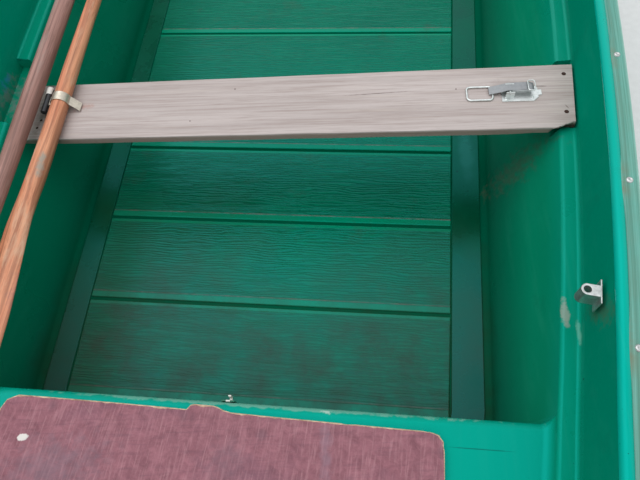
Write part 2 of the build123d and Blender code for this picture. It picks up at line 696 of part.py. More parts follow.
skew = math.radians(PLANK_SKEW)
plank_aft = PLANK_Y - half_w / math.cos(skew)
loom_x = inner_x - (plank_aft - INNER_TIP_Y) * math.tan(math.radians(inner_slant))
plank_aft += (loom_x - plank_x) * math.tan(skew)
handle_y = OUTER_TIP_Y + OAR_LONG * math.cos(math.radians(outer_slant))
ledge_high = between(sheer, handle_y) - LEDGE_DROP
oar_places = [
    ("inner", INNER_LOOM_R, inner_x, INNER_TIP_Y, inner_slant, 0, BLADE_THICK / 2, plank_aft,
     plank_top(loom_x) + INNER_LOOM_R, INNER_CLAMP_AT, 0),
    ("outer", OUTER_LOOM_R, outer_x, OUTER_TIP_Y, outer_slant, 90, BLADE_W / 2, handle_y,
     ledge_high + GRIP_R, OUTER_CLAMP_AT, OUTER_CLAMP_TURN),
]
for row in oar_places:
    name, loom_r, tip_x, tip_y, slant, roll, blade_half, rest_y, rest_height, clamp_at, turned = row
    tip_z = stern_level + blade_half + OAR_SEAT
    run = (rest_y - tip_y) / math.cos(math.radians(slant))
    pitch = math.degrees(math.atan2(rest_height + OAR_SEAT - tip_z, run))
    frame = Location((tip_x, tip_y, tip_z), (0, 0, slant)) * Location((0, 0, 0), (pitch, 0, 0))
    keep("oar_" + name, oar_solid(loom_r).moved(frame * Location((0, 0, 0), (0, roll, 0))))
    band_in = loom_r + CLAMP_GAP
    band = Cylinder(band_in + CLAMP_THICK, CLAMP_W) - Cylinder(band_in, 2 * CLAMP_W)
    band = band.moved(Location((0, 0, 0), (90, 0, 0)))
    tab = Box(CLAMP_TAB, CLAMP_W, CLAMP_THICK, align=(Align.MIN, Align.CENTER, Align.CENTER))
    band += tab.moved(Location((band_in + CLAMP_THICK / 2, 0, 0), (0, TAB_TILT, 0)))
    arm_from = band_in + CLAMP_THICK / 2
    arm = Box(PIN_OUT - PIN_R - CLAMP_GAP - arm_from, CLAMP_W, CLAMP_THICK,
              align=(Align.MAX, Align.CENTER, Align.CENTER))
    band += arm.moved(Location((-arm_from, 0, 0)))
    clamp_frame = frame * Location((0, clamp_at, 0), (0, turned, 0))
    keep("oar_" + name + "_clamp", band.moved(clamp_frame))
    pin = Cylinder(PIN_R, PIN_LONG).moved(Location((-PIN_OUT, 0, 0), (90, 0, 0)))
    keep("oar_" + name + "_pin", pin.moved(clamp_frame))

# Rowlock sockets on the upper walls
socket_wall = between(half_beam, SOCKET_Y) - WALL_IN - SEAT
socket_top = sheer(SOCKET_Y) - ROLL_H - SOCKET_DROP
wall_run = between(half_beam, SOCKET_Y + PLATE_LONG) - between(half_beam, SOCKET_Y)
turn = math.degrees(math.atan2(wall_run, PLATE_LONG))
plate = Box(SOCKET_PLATE, PLATE_LONG, PLATE_HIGH, align=(Align.MAX, Align.CENTER, Align.MAX))
tube = Cylinder(SOCKET_OUT_R, SOCKET_LONG, align=(Align.CENTER, Align.CENTER, Align.MAX))
arm = Box(SOCKET_IN, 2 * SOCKET_OUT_R, SOCKET_LONG, align=(Align.MAX, Align.CENTER, Align.MAX))
bore = Cylinder(SOCKET_R, 3 * SOCKET_LONG)
socket = plate + arm + tube.moved(Location((-SOCKET_IN, 0, 0))) - bore.moved(Location((-SOCKET_IN, 0, 0)))
socket = socket.moved(Location((socket_wall, SOCKET_Y, socket_top), (0, 0, -turn)))
keep("rowlock_socket_starboard", socket)
keep("rowlock_socket_port", socket.mirror(Plane.YZ))

# Bow eye on the stem
rise = math.degrees(math.atan(between(bottom, EYE_Y + 1) - between(bottom, EYE_Y)))
arc = ThreePointArc((-EYE_R, 0, 0), (0, 0, -EYE_R), (EYE_R, 0, 0))
eye = sweep(Plane(origin=arc @ 0, z_dir=arc % 0) * Circle(EYE_WIRE), path=arc)
eye_wide = 2 * (EYE_R + EYE_PLATE_OUT)
eye += Box(eye_wide, EYE_PLATE_W, EYE_WIRE, align=(Align.CENTER, Align.CENTER, Align.MIN))
eye_frame = Location((0, EYE_Y, between(bottom, EYE_Y)), (rise, 0, 0))
keep("bow_eye", eye.moved(eye_frame * Location((0, 0, -EYE_WIRE - SEAT))))

os.makedirs("parts", exist_ok=True)
for name, shape in parts.items():
    export_step(shape, os.path.join("parts", name + ".step"))
    print(name, round(shape.volume))
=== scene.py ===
import math
from contextlib import contextmanager

import bmesh
import bpy
from mathutils import Matrix, Vector, noise


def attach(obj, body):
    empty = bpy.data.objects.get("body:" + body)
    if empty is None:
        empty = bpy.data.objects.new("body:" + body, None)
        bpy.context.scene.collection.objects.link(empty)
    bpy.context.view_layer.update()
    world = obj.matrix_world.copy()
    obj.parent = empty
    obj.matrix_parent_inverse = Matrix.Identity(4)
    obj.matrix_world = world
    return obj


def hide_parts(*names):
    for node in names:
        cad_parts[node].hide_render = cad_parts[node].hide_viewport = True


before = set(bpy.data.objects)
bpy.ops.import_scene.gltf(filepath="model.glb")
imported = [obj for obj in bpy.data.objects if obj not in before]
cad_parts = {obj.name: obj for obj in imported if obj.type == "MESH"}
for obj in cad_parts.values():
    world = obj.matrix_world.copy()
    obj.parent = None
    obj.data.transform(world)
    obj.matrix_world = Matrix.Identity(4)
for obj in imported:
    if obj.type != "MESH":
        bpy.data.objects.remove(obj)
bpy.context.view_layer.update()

# Hull lines in metres, X to starboard, Y to the bow, Z up
STERN_Y = -1.725
STEM_Y = 1.838
WIDEST_Y = 0.25
HALF_BEAM = 0.811
TRANSOM_HALF_BEAM = 0.577
STEM_HALF_WIDTH = 0.062
BOW_FULLNESS = 2.3
SHEER_Z = 0.56
SHEER_LOW_Y = -0.7
BOW_RISE = 0.13
TRANSOM_LEAN = 0.085
BOTTOM_Z = 0.036
ROCKER_Y = 0.5
ROCKER_POWER = 4
STEM_DEPTH = 0.062
HULL_SKIN = 0.008
LAND = 0.008
LAND_FADE = 0.32
LAND_ROUND = 0.003

# Gunwale and ledges, measured inwards from the outer edge of the rub strake
STRAKE_W = 0.035
STRAKE_H = 0.028
STRAKE_DROP = 0.002
ROLL_H = 0.03
WALL_IN = 0.06
WALL_GAP = 0.002
LEDGE_W = 0.034
LINER = 0.006
LEDGE_DROP = 0.148
LEDGE_DEEP = 0.04
BENCH_DROP = 0.17
FLOOR_DROP = 0.426
NOTCH_Y = -0.57
NOTCH_DEEP = 0.032
# Ends of the notch on each side
NOTCHES = {1: (-0.566, -0.354), -1: (NOTCH_Y, -0.35)}

# Inside plan
BENCH_EDGE_Y = -1.22
BOW_FACE_Y = 0.95
DECK_Y = 1.4
FLOOR_HALF = 0.54
FLOOR_FLARE = 0.035
FLOOR_MARGIN = 0.046
ROW_STEP = 0.05


# Hull shape
def smooth(low, high, value):
    """Blend from 0 at low to 1 at high."""
    share = min(1.0, max(0.0, (value - low) / (high - low)))
    return share * share * (3 - 2 * share)


def half_beam(y):
    """Half width over the rub strakes."""
    if y < WIDEST_Y:
        share = (WIDEST_Y - y) / (WIDEST_Y - STERN_Y + TRANSOM_LEAN)
        return HALF_BEAM - (HALF_BEAM - TRANSOM_HALF_BEAM) * share**2
    share = (y - WIDEST_Y) / (STEM_Y - WIDEST_Y)
    return STEM_HALF_WIDTH + (HALF_BEAM - STEM_HALF_WIDTH) * (1 - share**BOW_FULLNESS)


def sheer(y):
    """Height of the gunwale top."""
    share = max(0, y - SHEER_LOW_Y) / (STEM_Y - SHEER_LOW_Y)
    return SHEER_Z + BOW_RISE * share**2


def bottom(y):
    """Height of the hull skin on the centreline."""
    if y < ROCKER_Y:
        return BOTTOM_Z
    share = (y - ROCKER_Y) / (STEM_Y - ROCKER_Y)
    return BOTTOM_Z + (sheer(STEM_Y) - STEM_DEPTH - BOTTOM_Z) * share**ROCKER_POWER


def place(x, y, z):
    """A point of the boat, leant aft near the transom."""
    weight = min(1.0, max(0.0, (BENCH_EDGE_Y - y) / (BENCH_EDGE_Y - STERN_Y)))
    return Vector((x, y - TRANSOM_LEAN * weight * z / SHEER_Z, z))


# Plank lands from keel to gunwale: breadth and height shares amidships, then at the bow
LANDS = [
    (0.50, 0.02, 0.22, 0.10),
    (0.78, 0.07, 0.40, 0.23),
    (0.905, 0.19, 0.56, 0.39),
    (0.955, 0.42, 0.71, 0.57),
    (0.99, 0.70, 0.86, 0.77),
    (1.00, 1.00, 1.00, 1.00),
]


def land_corners(y):
    """Corners of the planking on the starboard side, from the keel to the top."""
    bow, low = smooth(0, STEM_Y, y), bottom(y)
    tall = sheer(y) - ROLL_H - low
    wide = half_beam(y) - STRAKE_W
    points = [Vector((0.0, low))]
    for mid_x, mid_z, bow_x, bow_z in LANDS:
        x, z = mid_x + (bow_x - mid_x) * bow, mid_z + (bow_z - mid_z) * bow
        points.append(Vector((wide * x, low + tall * z)))
    return points


def outward(start, end):
    """Unit normal of a planking stretch, pointing out of the hull."""
    along = (end - start).normalized()
    return Vector((along.y, -along.x))


def inner_side(y):
    """Starboard inside of the hull skin."""
    corners = land_corners(y)
    points = [corners[0] + Vector((0, HULL_SKIN))]
    for before, here, after in zip(corners[:-2], corners[1:-1], corners[2:]):
        points.append(here - (outward(before, here) + outward(here, after)) * HULL_SKIN / 2)
    return points + [corners[-1] - Vector((HULL_SKIN, 0))]


def hull_inside(y, z):
    """Half width inside the hull skin at a height."""
    points = inner_side(y)
    for (xa, za), (xb, zb) in zip(points[:-1], points[1:]):
        if za <= z <= zb:
            return xa + (xb - xa) * (z - za) / (zb - za)
    return points[-1][0]


def wall_foot(y):
    """Half width at the foot of the upper wall, where the ledge starts."""
    low = sheer(y) - LEDGE_DROP - LEDGE_DEEP
    return min(half_beam(y) - WALL_IN, hull_inside(y, low) - LINER - WALL_GAP)


def ledge_inner(y):
    return wall_foot(y) - LEDGE_W


FLOOR_Z = SHEER_Z - FLOOR_DROP
STERN_LEVEL = sheer(BENCH_EDGE_Y) - BENCH_DROP
BOW_LEVEL = sheer(BOW_FACE_Y) - BENCH_DROP


def floor_half(y):
    """Half width of the cockpit floor."""
    wanted = FLOOR_HALF + FLOOR_FLARE * (y - BENCH_EDGE_Y)
    return min(wanted, hull_inside(y, FLOOR_Z - LINER) - FLOOR_MARGIN)


def wall_x(y, z):
    """Half width on the sloping lower wall at a height."""
    top_z = sheer(y) - LEDGE_DROP
    slope = (ledge_inner(y) - floor_half(y)) / (top_z - FLOOR_Z)
    return ledge_inner(y) - slope * (top_z - z)


# Node and object tools
def configured(made, **settings):
    """The thing with its settings made."""
    for key, value in settings.items():
        setattr(made, key, value)
    return made


def put(value, socket):
    """Link a socket to another one, or set its value."""
    if isinstance(value, bpy.types.NodeSocket):
        socket.id_data.links.new(value, socket)
    elif isinstance(value, tuple) and socket.type == "RGBA":
        socket.default_value = (*value[:3], 1.0)
    else:
        socket.default_value = value


def add_node(tree, kind, inputs=(), **settings):
    made = configured(tree.nodes.new("ShaderNode" + kind), **settings)
    for key, value in dict(inputs).items():
        put(value, made.inputs[key])
    return made


def linked(name, data):
    """An object with its data, in the scene."""
    made = bpy.data.objects.new(name, data)
    bpy.context.scene.collection.objects.link(made)
    return made


def turned(degrees, axis):
    return Matrix.Rotation(math.radians(degrees), 4, axis)


# Shader building
def srgb(red, green, blue):
    """Linear colour from 0 to 255 display values."""
    def linear(v):
        v /= 255
        return v / 12.92 if v <= 0.04045 else ((v + 0.055) / 1.055) ** 2.4
    return linear(red), linear(green), linear(blue)


class Shader:
    """A material whose colour, roughness and bump are built up step by step."""

    def __init__(self, name, metallic=0.0, specular=0.5, tint=(1.0, 1.0, 1.0)):
        self.material = configured(bpy.data.materials.new(name), use_nodes=True)
        self.tree = self.material.node_tree
        self.inputs = self.tree.nodes["Principled BSDF"].inputs
        put(metallic, self.inputs["Metallic"])
        put(specular, self.inputs["Specular IOR Level"])
        put(tint, self.inputs["Specular Tint"])
        self.coords = self.node("TexCoord").outputs["Object"]
        self.x, self.y, self.z = self.node("SeparateXYZ", {0: self.coords}).outputs

    def node(self, kind, inputs=(), **settings):
        return add_node(self.tree, kind, inputs, **settings)

    def calc(self, operation, first, second=0.0):
        return self.node("Math", {0: first, 1: second}, operation=operation).outputs[0]

    def times(self, first, second):
        return self.calc("MULTIPLY", first, second)

    def plus(self, first, second):
        return self.calc("ADD", first, second)

    def minus(self, first, second):
        return self.calc("SUBTRACT", first, second)

    def span(self, value, low, high, to_low=0.0, to_high=1.0):
        """Map a range of a value to another, clamped."""
        made = self.node("MapRange", {"Value": value, "From Min": low, "From Max": high,
                                      "To Min": to_low, "To Max": to_high})
        return made.outputs[0]

    def window(self, value, rise, fall, fade=0.002):
        """A mask that is 1 between two values and fades over a short stretch at both."""
        return self.times(self.span(value, rise, rise + fade), self.span(value, fall, fall - fade))

    def mapped(self, scale=(1, 1, 1), turn=0, shift=(0, 0, 0)):
        """Object coordinates, turned about Z by degrees and stretched."""
        spun = self.node("Mapping", {"Vector": self.coords, "Rotation": (0, 0, math.radians(turn))})
        return self.node("Mapping", {"Vector": spun.outputs[0], "Scale": scale,
                                     "Location": shift}).outputs[0]

    def noise(self, where, scale, detail=4.0, rough=0.55, distort=0.0):
        made = self.node("TexNoise", {"Vector": where, "Scale": scale, "Detail": detail,
                                      "Roughness": rough, "Distortion": distort})
        return made.outputs["Fac"]

    def bands(self, where, scale, distort, detail, detail_scale):
        made = self.node("TexWave", {"Vector": where, "Scale": scale, "Distortion": distort, "Detail": detail,
                                     "Detail Scale": detail_scale}, wave_type="BANDS", bands_direction="Y")
        return made.outputs["Fac"]

    def cells(self, where, scale):
        return self.node("TexVoronoi", {"Vector": where, "Scale": scale}).outputs["Distance"]

    def below_sheer(self):
        """Height below the gunwale's top."""
        share = self.span(self.y, SHEER_LOW_Y, STEM_Y)
        rise = self.times(self.calc("POWER", share, 2.0), BOW_RISE)
        return self.minus(self.plus(rise, SHEER_Z), self.z)

    def inwards(self):
        """Distance from the hull's outer edge towards the centreline."""
        aft = self.calc("POWER", self.span(self.y, WIDEST_Y, STERN_Y - TRANSOM_LEAN), 2.0)
        fore = self.calc("POWER", self.span(self.y, WIDEST_Y, STEM_Y), BOW_FULLNESS)
        edge = self.times(aft, TRANSOM_HALF_BEAM - HALF_BEAM)
        edge = self.plus(self.plus(edge, self.times(fore, STEM_HALF_WIDTH - HALF_BEAM)), HALF_BEAM)
        return self.minus(edge, self.calc("ABSOLUTE", self.x))

    def lengthwise(self, across_scale, along_scale):
        """Coordinates that run along the curved edge of the hull."""
        parts = {0: self.times(self.inwards(), across_scale), 1: self.times(self.y, along_scale), 2: self.x}
        return self.node("CombineXYZ", parts).outputs[0]

    def patch(self, centre, size, turn=0, edge=0.5, ragged=0.0, ragged_scale=60.0):
        """A mask that is 1 inside an ellipsoid, turned about Z or all axes, and fades to 0 at its edge."""
        turns = turn if isinstance(turn, tuple) else (0, 0, turn)
        local = self.node("Mapping", {"Vector": self.coords, "Location": centre, "Scale": size,
                                      "Rotation": tuple(math.radians(a) for a in turns)},
                          vector_type="TEXTURE").outputs[0]
        far = self.node("VectorMath", {0: local}, operation="LENGTH").outputs["Value"]
        if ragged:
            wave = self.noise(self.coords, ragged_scale, 5.0, 0.65)
            far = self.plus(far, self.span(wave, 0.25, 0.75, -ragged, ragged))
        return self.span(far, 1.0, 1.0 - edge)

    def blend(self, mask, first, second):
        """Set the colour to a blend of two linear colours or colour sockets."""
        made = self.node("Mix", {}, data_type="RGBA")
        for value, socket in ((mask, made.inputs[0]), (first, made.inputs[6]), (second, made.inputs[7])):
            put(value, socket)
        self.colour = made.outputs[2]

    def over(self, mask, tint):
        """Lay a display colour over the colour so far."""
        self.blend(mask, self.colour, srgb(*tint))

    def tone(self, value, low, high, amount, tint):
        """Lay a display colour where a value goes from low to high."""
        self.over(self.span(value, low, high, 0.0, amount), tint)

    def damage(self, marks, ragged_scale=60.0, roughening=0.0):
        """Lay damaged and dirty patches over the colour, rougher than the rest if asked for."""
        for centre, size, turn, tint, amount, edge, ragged in marks:
            mask = self.times(self.patch(centre, size, turn, edge, ragged, ragged_scale), amount)
            self.over(mask, tint)
            if roughening:
                self.rough = self.plus(self.rough, self.times(mask, roughening))

    def bump(self, height, strength, distance):
        return self.node("Bump", {"Height": height, "Strength": strength, "Distance": distance}).outputs[0]

    def done(self, rough, normal=None):
        put(self.colour, self.inputs["Base Color"])
        put(rough, self.inputs["Roughness"])
        if normal is not None:
            put(normal, self.inputs["Normal"])
        return self.material


# Gelcoat: the tint of what it reflects, then its colours as display values
GLOSS_TINT = (0.04, 0.98, 1.0)
GREEN = (0, 124, 92)
# Painted shade: deeper green laid low down in the liner and at port
PAINTED_SHADE_GREEN = (0, 50, 33)
GREEN_PALE = (70, 170, 145)
# Painted light: lighter green laid on the liner's ledges, upper walls and stern bench top
PAINTED_LIGHT_GREEN = (0, 150, 132)


def gelcoat(name, body, dirt=0.3, silt_below=None, paint_light_and_shade=False, marks=(), gloss=(0.13, 0.22)):
    """Glossy moulded gelcoat: faint streaks, hairline scratches, specks, grime and damaged patches, and
    painted light and shade if asked for.
    """
    s = Shader(name, tint=GLOSS_TINT)
    broad = s.noise(s.coords, 2.2, 3.0, 0.6)
    s.blend(s.span(broad, 0.3, 0.7), srgb(*body), tuple(c * 1.12 for c in srgb(*body)))
    s.tone(s.noise(s.mapped((38, 1.2, 6)), 3.0, 4.0, 0.6), 0.5, 0.78, 0.10, GREEN_PALE)
    scratched = s.span(s.noise(s.mapped((260, 5, 40), 24), 1.6, 5.0, 0.7), 0.69, 0.75, 0.0, 0.3)
    s.over(scratched, GREEN_PALE)
    grime = s.noise(s.coords, 9.0, 6.0, 0.7)
    s.tone(grime, 0.58, 0.78, dirt, (28, 58, 40))
    specks = s.span(s.cells(s.coords, 60.0), 0.07, 0.04)
    s.over(s.times(specks, s.span(grime, 0.45, 0.6, 0.0, 0.7)), (20, 40, 28))
    s.rough = s.plus(s.span(broad, 0.3, 0.7, *gloss), s.span(grime, 0.5, 0.75, 0.0, 0.2))
    s.rough = s.plus(s.rough, s.times(scratched, 0.3))
    # Painted light on the liner's tops and painted shade low down and at port
    if paint_light_and_shade:
        paint_liner_light_and_shade(s)
    if silt_below is not None:
        low, high = silt_below
        level = s.plus(s.z, s.span(s.noise(s.coords, 5.0, 5.0), 0.3, 0.7, -0.035, 0.035))
        level = s.plus(level, s.span(s.y, -1.2, 0.9, 0.0, 0.3))
        cloud = s.span(s.noise(s.coords, 14.0, 6.0, 0.7), 0.3, 0.62, 0.35, 1.0)
        silt = s.times(s.span(level, high, low, 0.0, 0.7), cloud)
        s.over(silt, (34, 48, 30))
        s.rough = s.plus(s.rough, s.times(silt, 0.35))
    s.damage(marks, roughening=0.35)
    normal = s.bump(s.noise(s.coords, 5.0, 2.0, 0.4), 0.25, 0.004)
    return s.done(s.calc("MINIMUM", s.rough, 0.9), normal)


def paint_liner_light_and_shade(s):
    """Matt upper walls, painted light on the ledges, upper walls and stern bench top, and painted shade (a
    deeper green) low down and at port.
    """
    below = s.below_sheer()
    shine = s.calc("MINIMUM", s.span(below, 0.128, 0.142, 0.0, 0.5), s.span(s.z, 0.150, 0.180, 0.0, 0.5))
    put(shine, s.inputs["Specular IOR Level"])
    # Painted light: the ledges and upper walls lighter
    s.tone(below, 0.20, 0.15, 0.3, PAINTED_LIGHT_GREEN)
    # Painted light: the stern bench top lighter
    stern = s.times(s.span(s.y, -1.205, -1.225), s.span(s.z, 0.355, 0.372))
    s.over(s.times(stern, s.span(s.z, 0.404, 0.392, 0.0, 0.6)), PAINTED_LIGHT_GREEN)
    # Painted shade: deeper green low down and at port
    port = s.times(s.span(s.x, -0.45, -0.56, 0.0, 0.5), s.span(s.z, 0.39, 0.18))
    s.over(s.calc("MAXIMUM", s.span(s.z, 0.135, 0.31, 0.74, 0.0), port), PAINTED_SHADE_GREEN)


# Damaged and dirty patches: centre, size, turn, colour, amount, edge width, raggedness
SPECK = (14, 34, 24)
LINER_MARKS = [
    ((0.6345, -1.016, 0.412), (0.009, 0.032, 0.010), 0, (150, 152, 140), 0.75, 0.5, 0.6),
    ((0.654, -1.060, 0.412), (0.005, 0.030, 0.008), 0, (120, 175, 155), 0.5, 0.6, 0.6),
    ((0.664, -1.045, 0.500), (0.030, 0.030, 0.070), (20, 0, 0), (84, 92, 66), 0.45, 0.9, 0.6),
    ((0.618, -0.570, 0.262), (0.070, 0.052, 0.140), (0, 23, 0), (80, 86, 68), 0.52, 0.9, 1.0),
    ((-0.700, -0.460, 0.400), (0.040, 0.095, 0.030), 0, (112, 126, 118), 0.7, 0.6, 0.8),
    ((-0.716, -0.440, 0.420), (0.014, 0.035, 0.020), 0, (40, 130, 165), 0.8, 0.5, 0.6),
    ((-0.690, -0.545, 0.412), (0.014, 0.030, 0.020), 0, (30, 130, 165), 0.7, 0.5, 0.6),
    ((0.085, -1.2215, 0.386), (0.450, 0.0085, 0.011), 0, (116, 164, 146), 0.7, 0.35, 0.5),
    ((0.190, -1.2235, 0.389), (0.014, 0.008, 0.006), 0, (190, 202, 190), 0.7, 0.5, 0.5),
    ((0.469, -1.2734, 0.390), (0.066, 0.0012, 0.004), 0, SPECK, 0.6, 0.5, 0.2),
    ((0.7289, -0.3852, 0.4615), (0.003, 0.003, 0.003), 0, (90, 190, 165), 0.7, 0.5, 0.0),
    ((0.4919, -0.4949, 0.134), (0.004, 0.004, 0.004), 0, SPECK, 0.9, 0.4, 0.0),
]
for x, y, z, radius in ((0.7103, -0.6111, 0.547, 0.003), (0.6936, -0.7717, 0.545, 0.003),
                        (0.6734, -0.9373, 0.547, 0.003), (0.6505, -1.1005, 0.552, 0.004),
                        (0.6433, -1.1481, 0.428, 0.003)):
    LINER_MARKS.append(((x, y, z), (radius, radius, radius), 0, SPECK, 0.8, 0.5, 0.0))


def make_gelcoats():
    # The liner's gelcoat is given painted light and painted shade
    return {"liner": gelcoat("liner_gelcoat", GREEN, 0.25, (0.13, 0.2), True, LINER_MARKS, (0.24, 0.33)),
            "hull": gelcoat("hull_gelcoat", (0, 106, 76), 0.5, (0.05, 0.28)),
            # The gunwale's lighter, bluer green is partly painted light on the roll's sky-facing top
            "gunwale": gelcoat("gunwale_gelcoat", (0, 152, 134), 0.15)}


def strake_material():
    """Weathered plastic section with lengthwise streaks, a painted highlight along its outer rim and stains
    near its screws.
    """
    s = Shader("strake_plastic", specular=0.35)
    inwards = s.inwards()
    lines = s.noise(s.lengthwise(420, 3), 1.0, 4.0, 0.65)
    s.blend(s.span(lines, 0.3, 0.7), srgb(62, 124, 108), srgb(98, 164, 150))
    s.tone(s.noise(s.lengthwise(1300, 6), 1.0, 3.0, 0.6), 0.5, 0.72, 0.45, (138, 190, 178))
    # Painted highlight along the outer rim
    s.tone(inwards, 0.009, 0.003, 0.6, (156, 208, 192))
    s.tone(s.calc("ABSOLUTE", s.minus(inwards, 0.023)), 0.004, 0.001, 0.4, (66, 108, 90))
    phase = s.times(s.minus(s.y, SCREW_FIRST), 2 * math.pi / SCREW_PITCH)
    lobe = s.times(s.span(s.calc("COSINE", phase), 0.55, 1.0), s.span(inwards, 0.018, 0.034))
    blotch = s.noise(s.coords, 16.0, 5.0, 0.65)
    s.over(s.times(s.plus(s.times(lobe, 0.75), 0.12), s.span(blotch, 0.35, 0.6)), (112, 112, 88))
    return s.done(s.span(blotch, 0.3, 0.7, 0.36, 0.52), s.bump(lines, 0.4, 0.001))


def plank_material():
    """Bare greyed softwood with straight fine grain, checks, stains, painted shade on its sides below the top
    face, a painted shadow of the outer oar and a dark broken corner that is partly painted shade.
    """
    s = Shader("plank_timber", specular=0.3)
    broad = s.noise(s.mapped((0.7, 24, 24), -PLANK_SKEW), 1.0, 3.0, 0.55, 0.3)
    s.blend(s.span(broad, 0.32, 0.68), srgb(166, 154, 150), srgb(190, 179, 175))
    s.tone(s.noise(s.coords, 3.2, 4.0, 0.6), 0.45, 0.75, 0.4, (170, 160, 156))
    fibre = s.noise(s.mapped((3.2, 190, 190), -PLANK_SKEW), 1.0, 5.0, 0.62, 0.25)
    s.tone(fibre, 0.44, 0.72, 0.5, (132, 112, 104))
    pores = s.noise(s.mapped((16, 640, 640), -PLANK_SKEW), 1.0, 3.0, 0.6)
    s.tone(pores, 0.52, 0.8, 0.32, (110, 92, 86))
    pale = s.noise(s.mapped((2.2, 120, 120), -PLANK_SKEW, (3, 1, 0)), 1.0, 3.0, 0.6)
    s.tone(pale, 0.58, 0.74, 0.35, (196, 184, 174))
    # Painted shade: the plank's sides darker below its top face
    level = s.minus(s.z, s.times(s.x, math.tan(PLANK_TILT)))
    s.tone(level, PLANK_TOP - 0.002, PLANK_TOP - 0.006, 0.6, (132, 106, 88))
    s.damage(PLANK_MARKS, 90.0)
    relief = s.plus(s.times(fibre, 0.6), s.times(pores, 0.4))
    return s.done(s.span(broad, 0.3, 0.7, 0.72, 0.86), s.bump(relief, 0.5, 0.0011))


def wood(name, pale, mid, dark, along=0, gloss=0.75, worn=None, marks=(), flecks=0.0):
    """Timber with long grain, fibres, flecks and stains. The grain runs along X before it is turned."""
    s = Shader(name, specular=0.35)
    grain = s.noise(s.mapped((1.6, 26, 26), along), 2.0, 4.0, 0.6, 1.2)
    fine = s.noise(s.mapped((9, 330, 330), along), 1.0, 4.0, 0.7)
    lines = s.bands(s.mapped((0.9, 16, 16), along), 1.1, 7.0, 3.0, 1.3)
    s.blend(s.span(grain, 0.32, 0.68), srgb(*mid), srgb(*pale))
    s.tone(fine, 0.45, 0.72, 0.55, dark)
    s.tone(lines, 0.55, 0.95, 0.4, dark)
    s.tone(s.noise(s.mapped((9, 75, 75), along, (2, 0, 5)), 1.0, 6.0, 0.75), 0.64, 0.72, flecks, dark)
    rough = s.span(grain, 0.3, 0.7, gloss - 0.08, gloss + 0.08)
    if worn is not None:
        rubbed = s.span(s.noise(s.mapped((2.5, 14, 14), along), 2.0, 6.0, 0.7), 0.55, 0.66, 0.0, 0.75)
        s.over(rubbed, worn)
        rough = s.plus(rough, s.times(rubbed, 0.2))
    s.damage(marks)
    relief = s.plus(s.times(fine, 0.6), s.times(lines, 0.4))
    return s.done(rough, s.bump(relief, 0.55, 0.0012))


def steel_material(name, tint, rust=0.4, dull=0.62):
    """Zinc plated steel with a patina and rust spots."""
    s = Shader(name, metallic=0.85)
    patina = s.noise(s.coords, 120.0, 4.0, 0.6)
    s.blend(s.span(patina, 0.35, 0.7), srgb(*tint), tuple(c * dull for c in srgb(*tint)))
    spots = s.span(s.noise(s.coords, 75.0, 6.0, 0.75), 0.6, 0.72, 0.0, rust)
    s.over(spots, (120, 72, 42))
    rough = s.plus(s.span(patina, 0.3, 0.7, 0.28, 0.45), s.times(spots, 0.4))
    return s.done(rough, s.bump(patina, 0.2, 0.0006))


def plastic_material(name, tint, gloss=0.45):
    s = Shader(name)
    speck = s.noise(s.coords, 160.0, 4.0, 0.6)
    pale = tuple(min(1.0, c * 1.8 + 0.02) for c in srgb(*tint))
    s.blend(s.span(speck, 0.4, 0.75, 0.0, 0.35), srgb(*tint), pale)
    return s.done(s.span(speck, 0.3, 0.7, gloss - 0.05, gloss + 0.1), s.bump(speck, 0.25, 0.0005))


def hook_material():
    """White hook whose plate was moulded over in green."""
    s = Shader("hook_plastic")
    s.blend(s.span(s.calc("ABSOLUTE", s.x), 0.0045, 0.0035), srgb(0, 96, 72), srgb(214, 212, 204))
    return s.done(0.45)


def aft_silt(s, amount, cloud):
    """Silt that has settled on the floor towards the stern."""
    aft = s.plus(s.y, s.span(s.noise(s.coords, 4.0, 5.0), 0.3, 0.7, -0.12, 0.12))
    return s.times(s.span(aft, -0.6, -1.05, 0.0, amount), cloud)


def floor_material():
    """Green planking moulded with fine wood grain between smooth borders, silty towards the stern."""
    s = Shader("floor_gelcoat", tint=GLOSS_TINT)
    broad = s.noise(s.coords, 2.6, 3.0, 0.6)
    s.blend(s.span(broad, 0.3, 0.7), srgb(0, 92, 64), srgb(0, 112, 80))
    panels = s.calc("FRACT", s.calc("DIVIDE", s.plus(s.y, -(BENCH_EDGE_Y + PANEL_FIRST)), PANEL_PITCH))
    ahead = s.times(panels, PANEL_PITCH)
    smooth_part = s.calc("MAXIMUM", s.window(ahead, 0.003, 0.0215), s.window(ahead, 0.2345, 0.248))
    line = s.window(ahead, 0.0205, 0.0255)
    grain = s.bands(s.mapped((3.0, 17, 1)), 2.4, 13.0, 4.0, 1.1)
    fibres = s.noise(s.mapped((9, 330, 1)), 1.0, 4.0, 0.65)
    relief = s.plus(s.times(grain, 0.55), s.times(fibres, 0.5))
    carved = s.minus(1.0, smooth_part)
    s.over(s.times(s.span(relief, 0.75, 0.4, 0.0, 0.42), carved), (0, 60, 42))
    s.over(s.times(smooth_part, 0.6), (0, 138, 102))
    s.tone(s.noise(s.coords, 8.0, 6.0, 0.7), 0.57, 0.77, 0.45, (56, 56, 36))
    pool = s.span(s.noise(s.coords, 22.0, 5.0, 0.7), 0.4, 0.62, 0.15, 0.75)
    s.over(s.times(line, pool), (120, 96, 88))
    silt = aft_silt(s, 0.85, s.span(s.noise(s.coords, 13.0, 6.0, 0.7), 0.3, 0.65, 0.45, 1.0))
    s.over(silt, (56, 46, 30))
    rough = s.plus(s.span(broad, 0.3, 0.7, 0.2, 0.3), s.times(silt, 0.3))
    return s.done(rough, s.bump(s.times(relief, carved), 0.55, 0.0016))


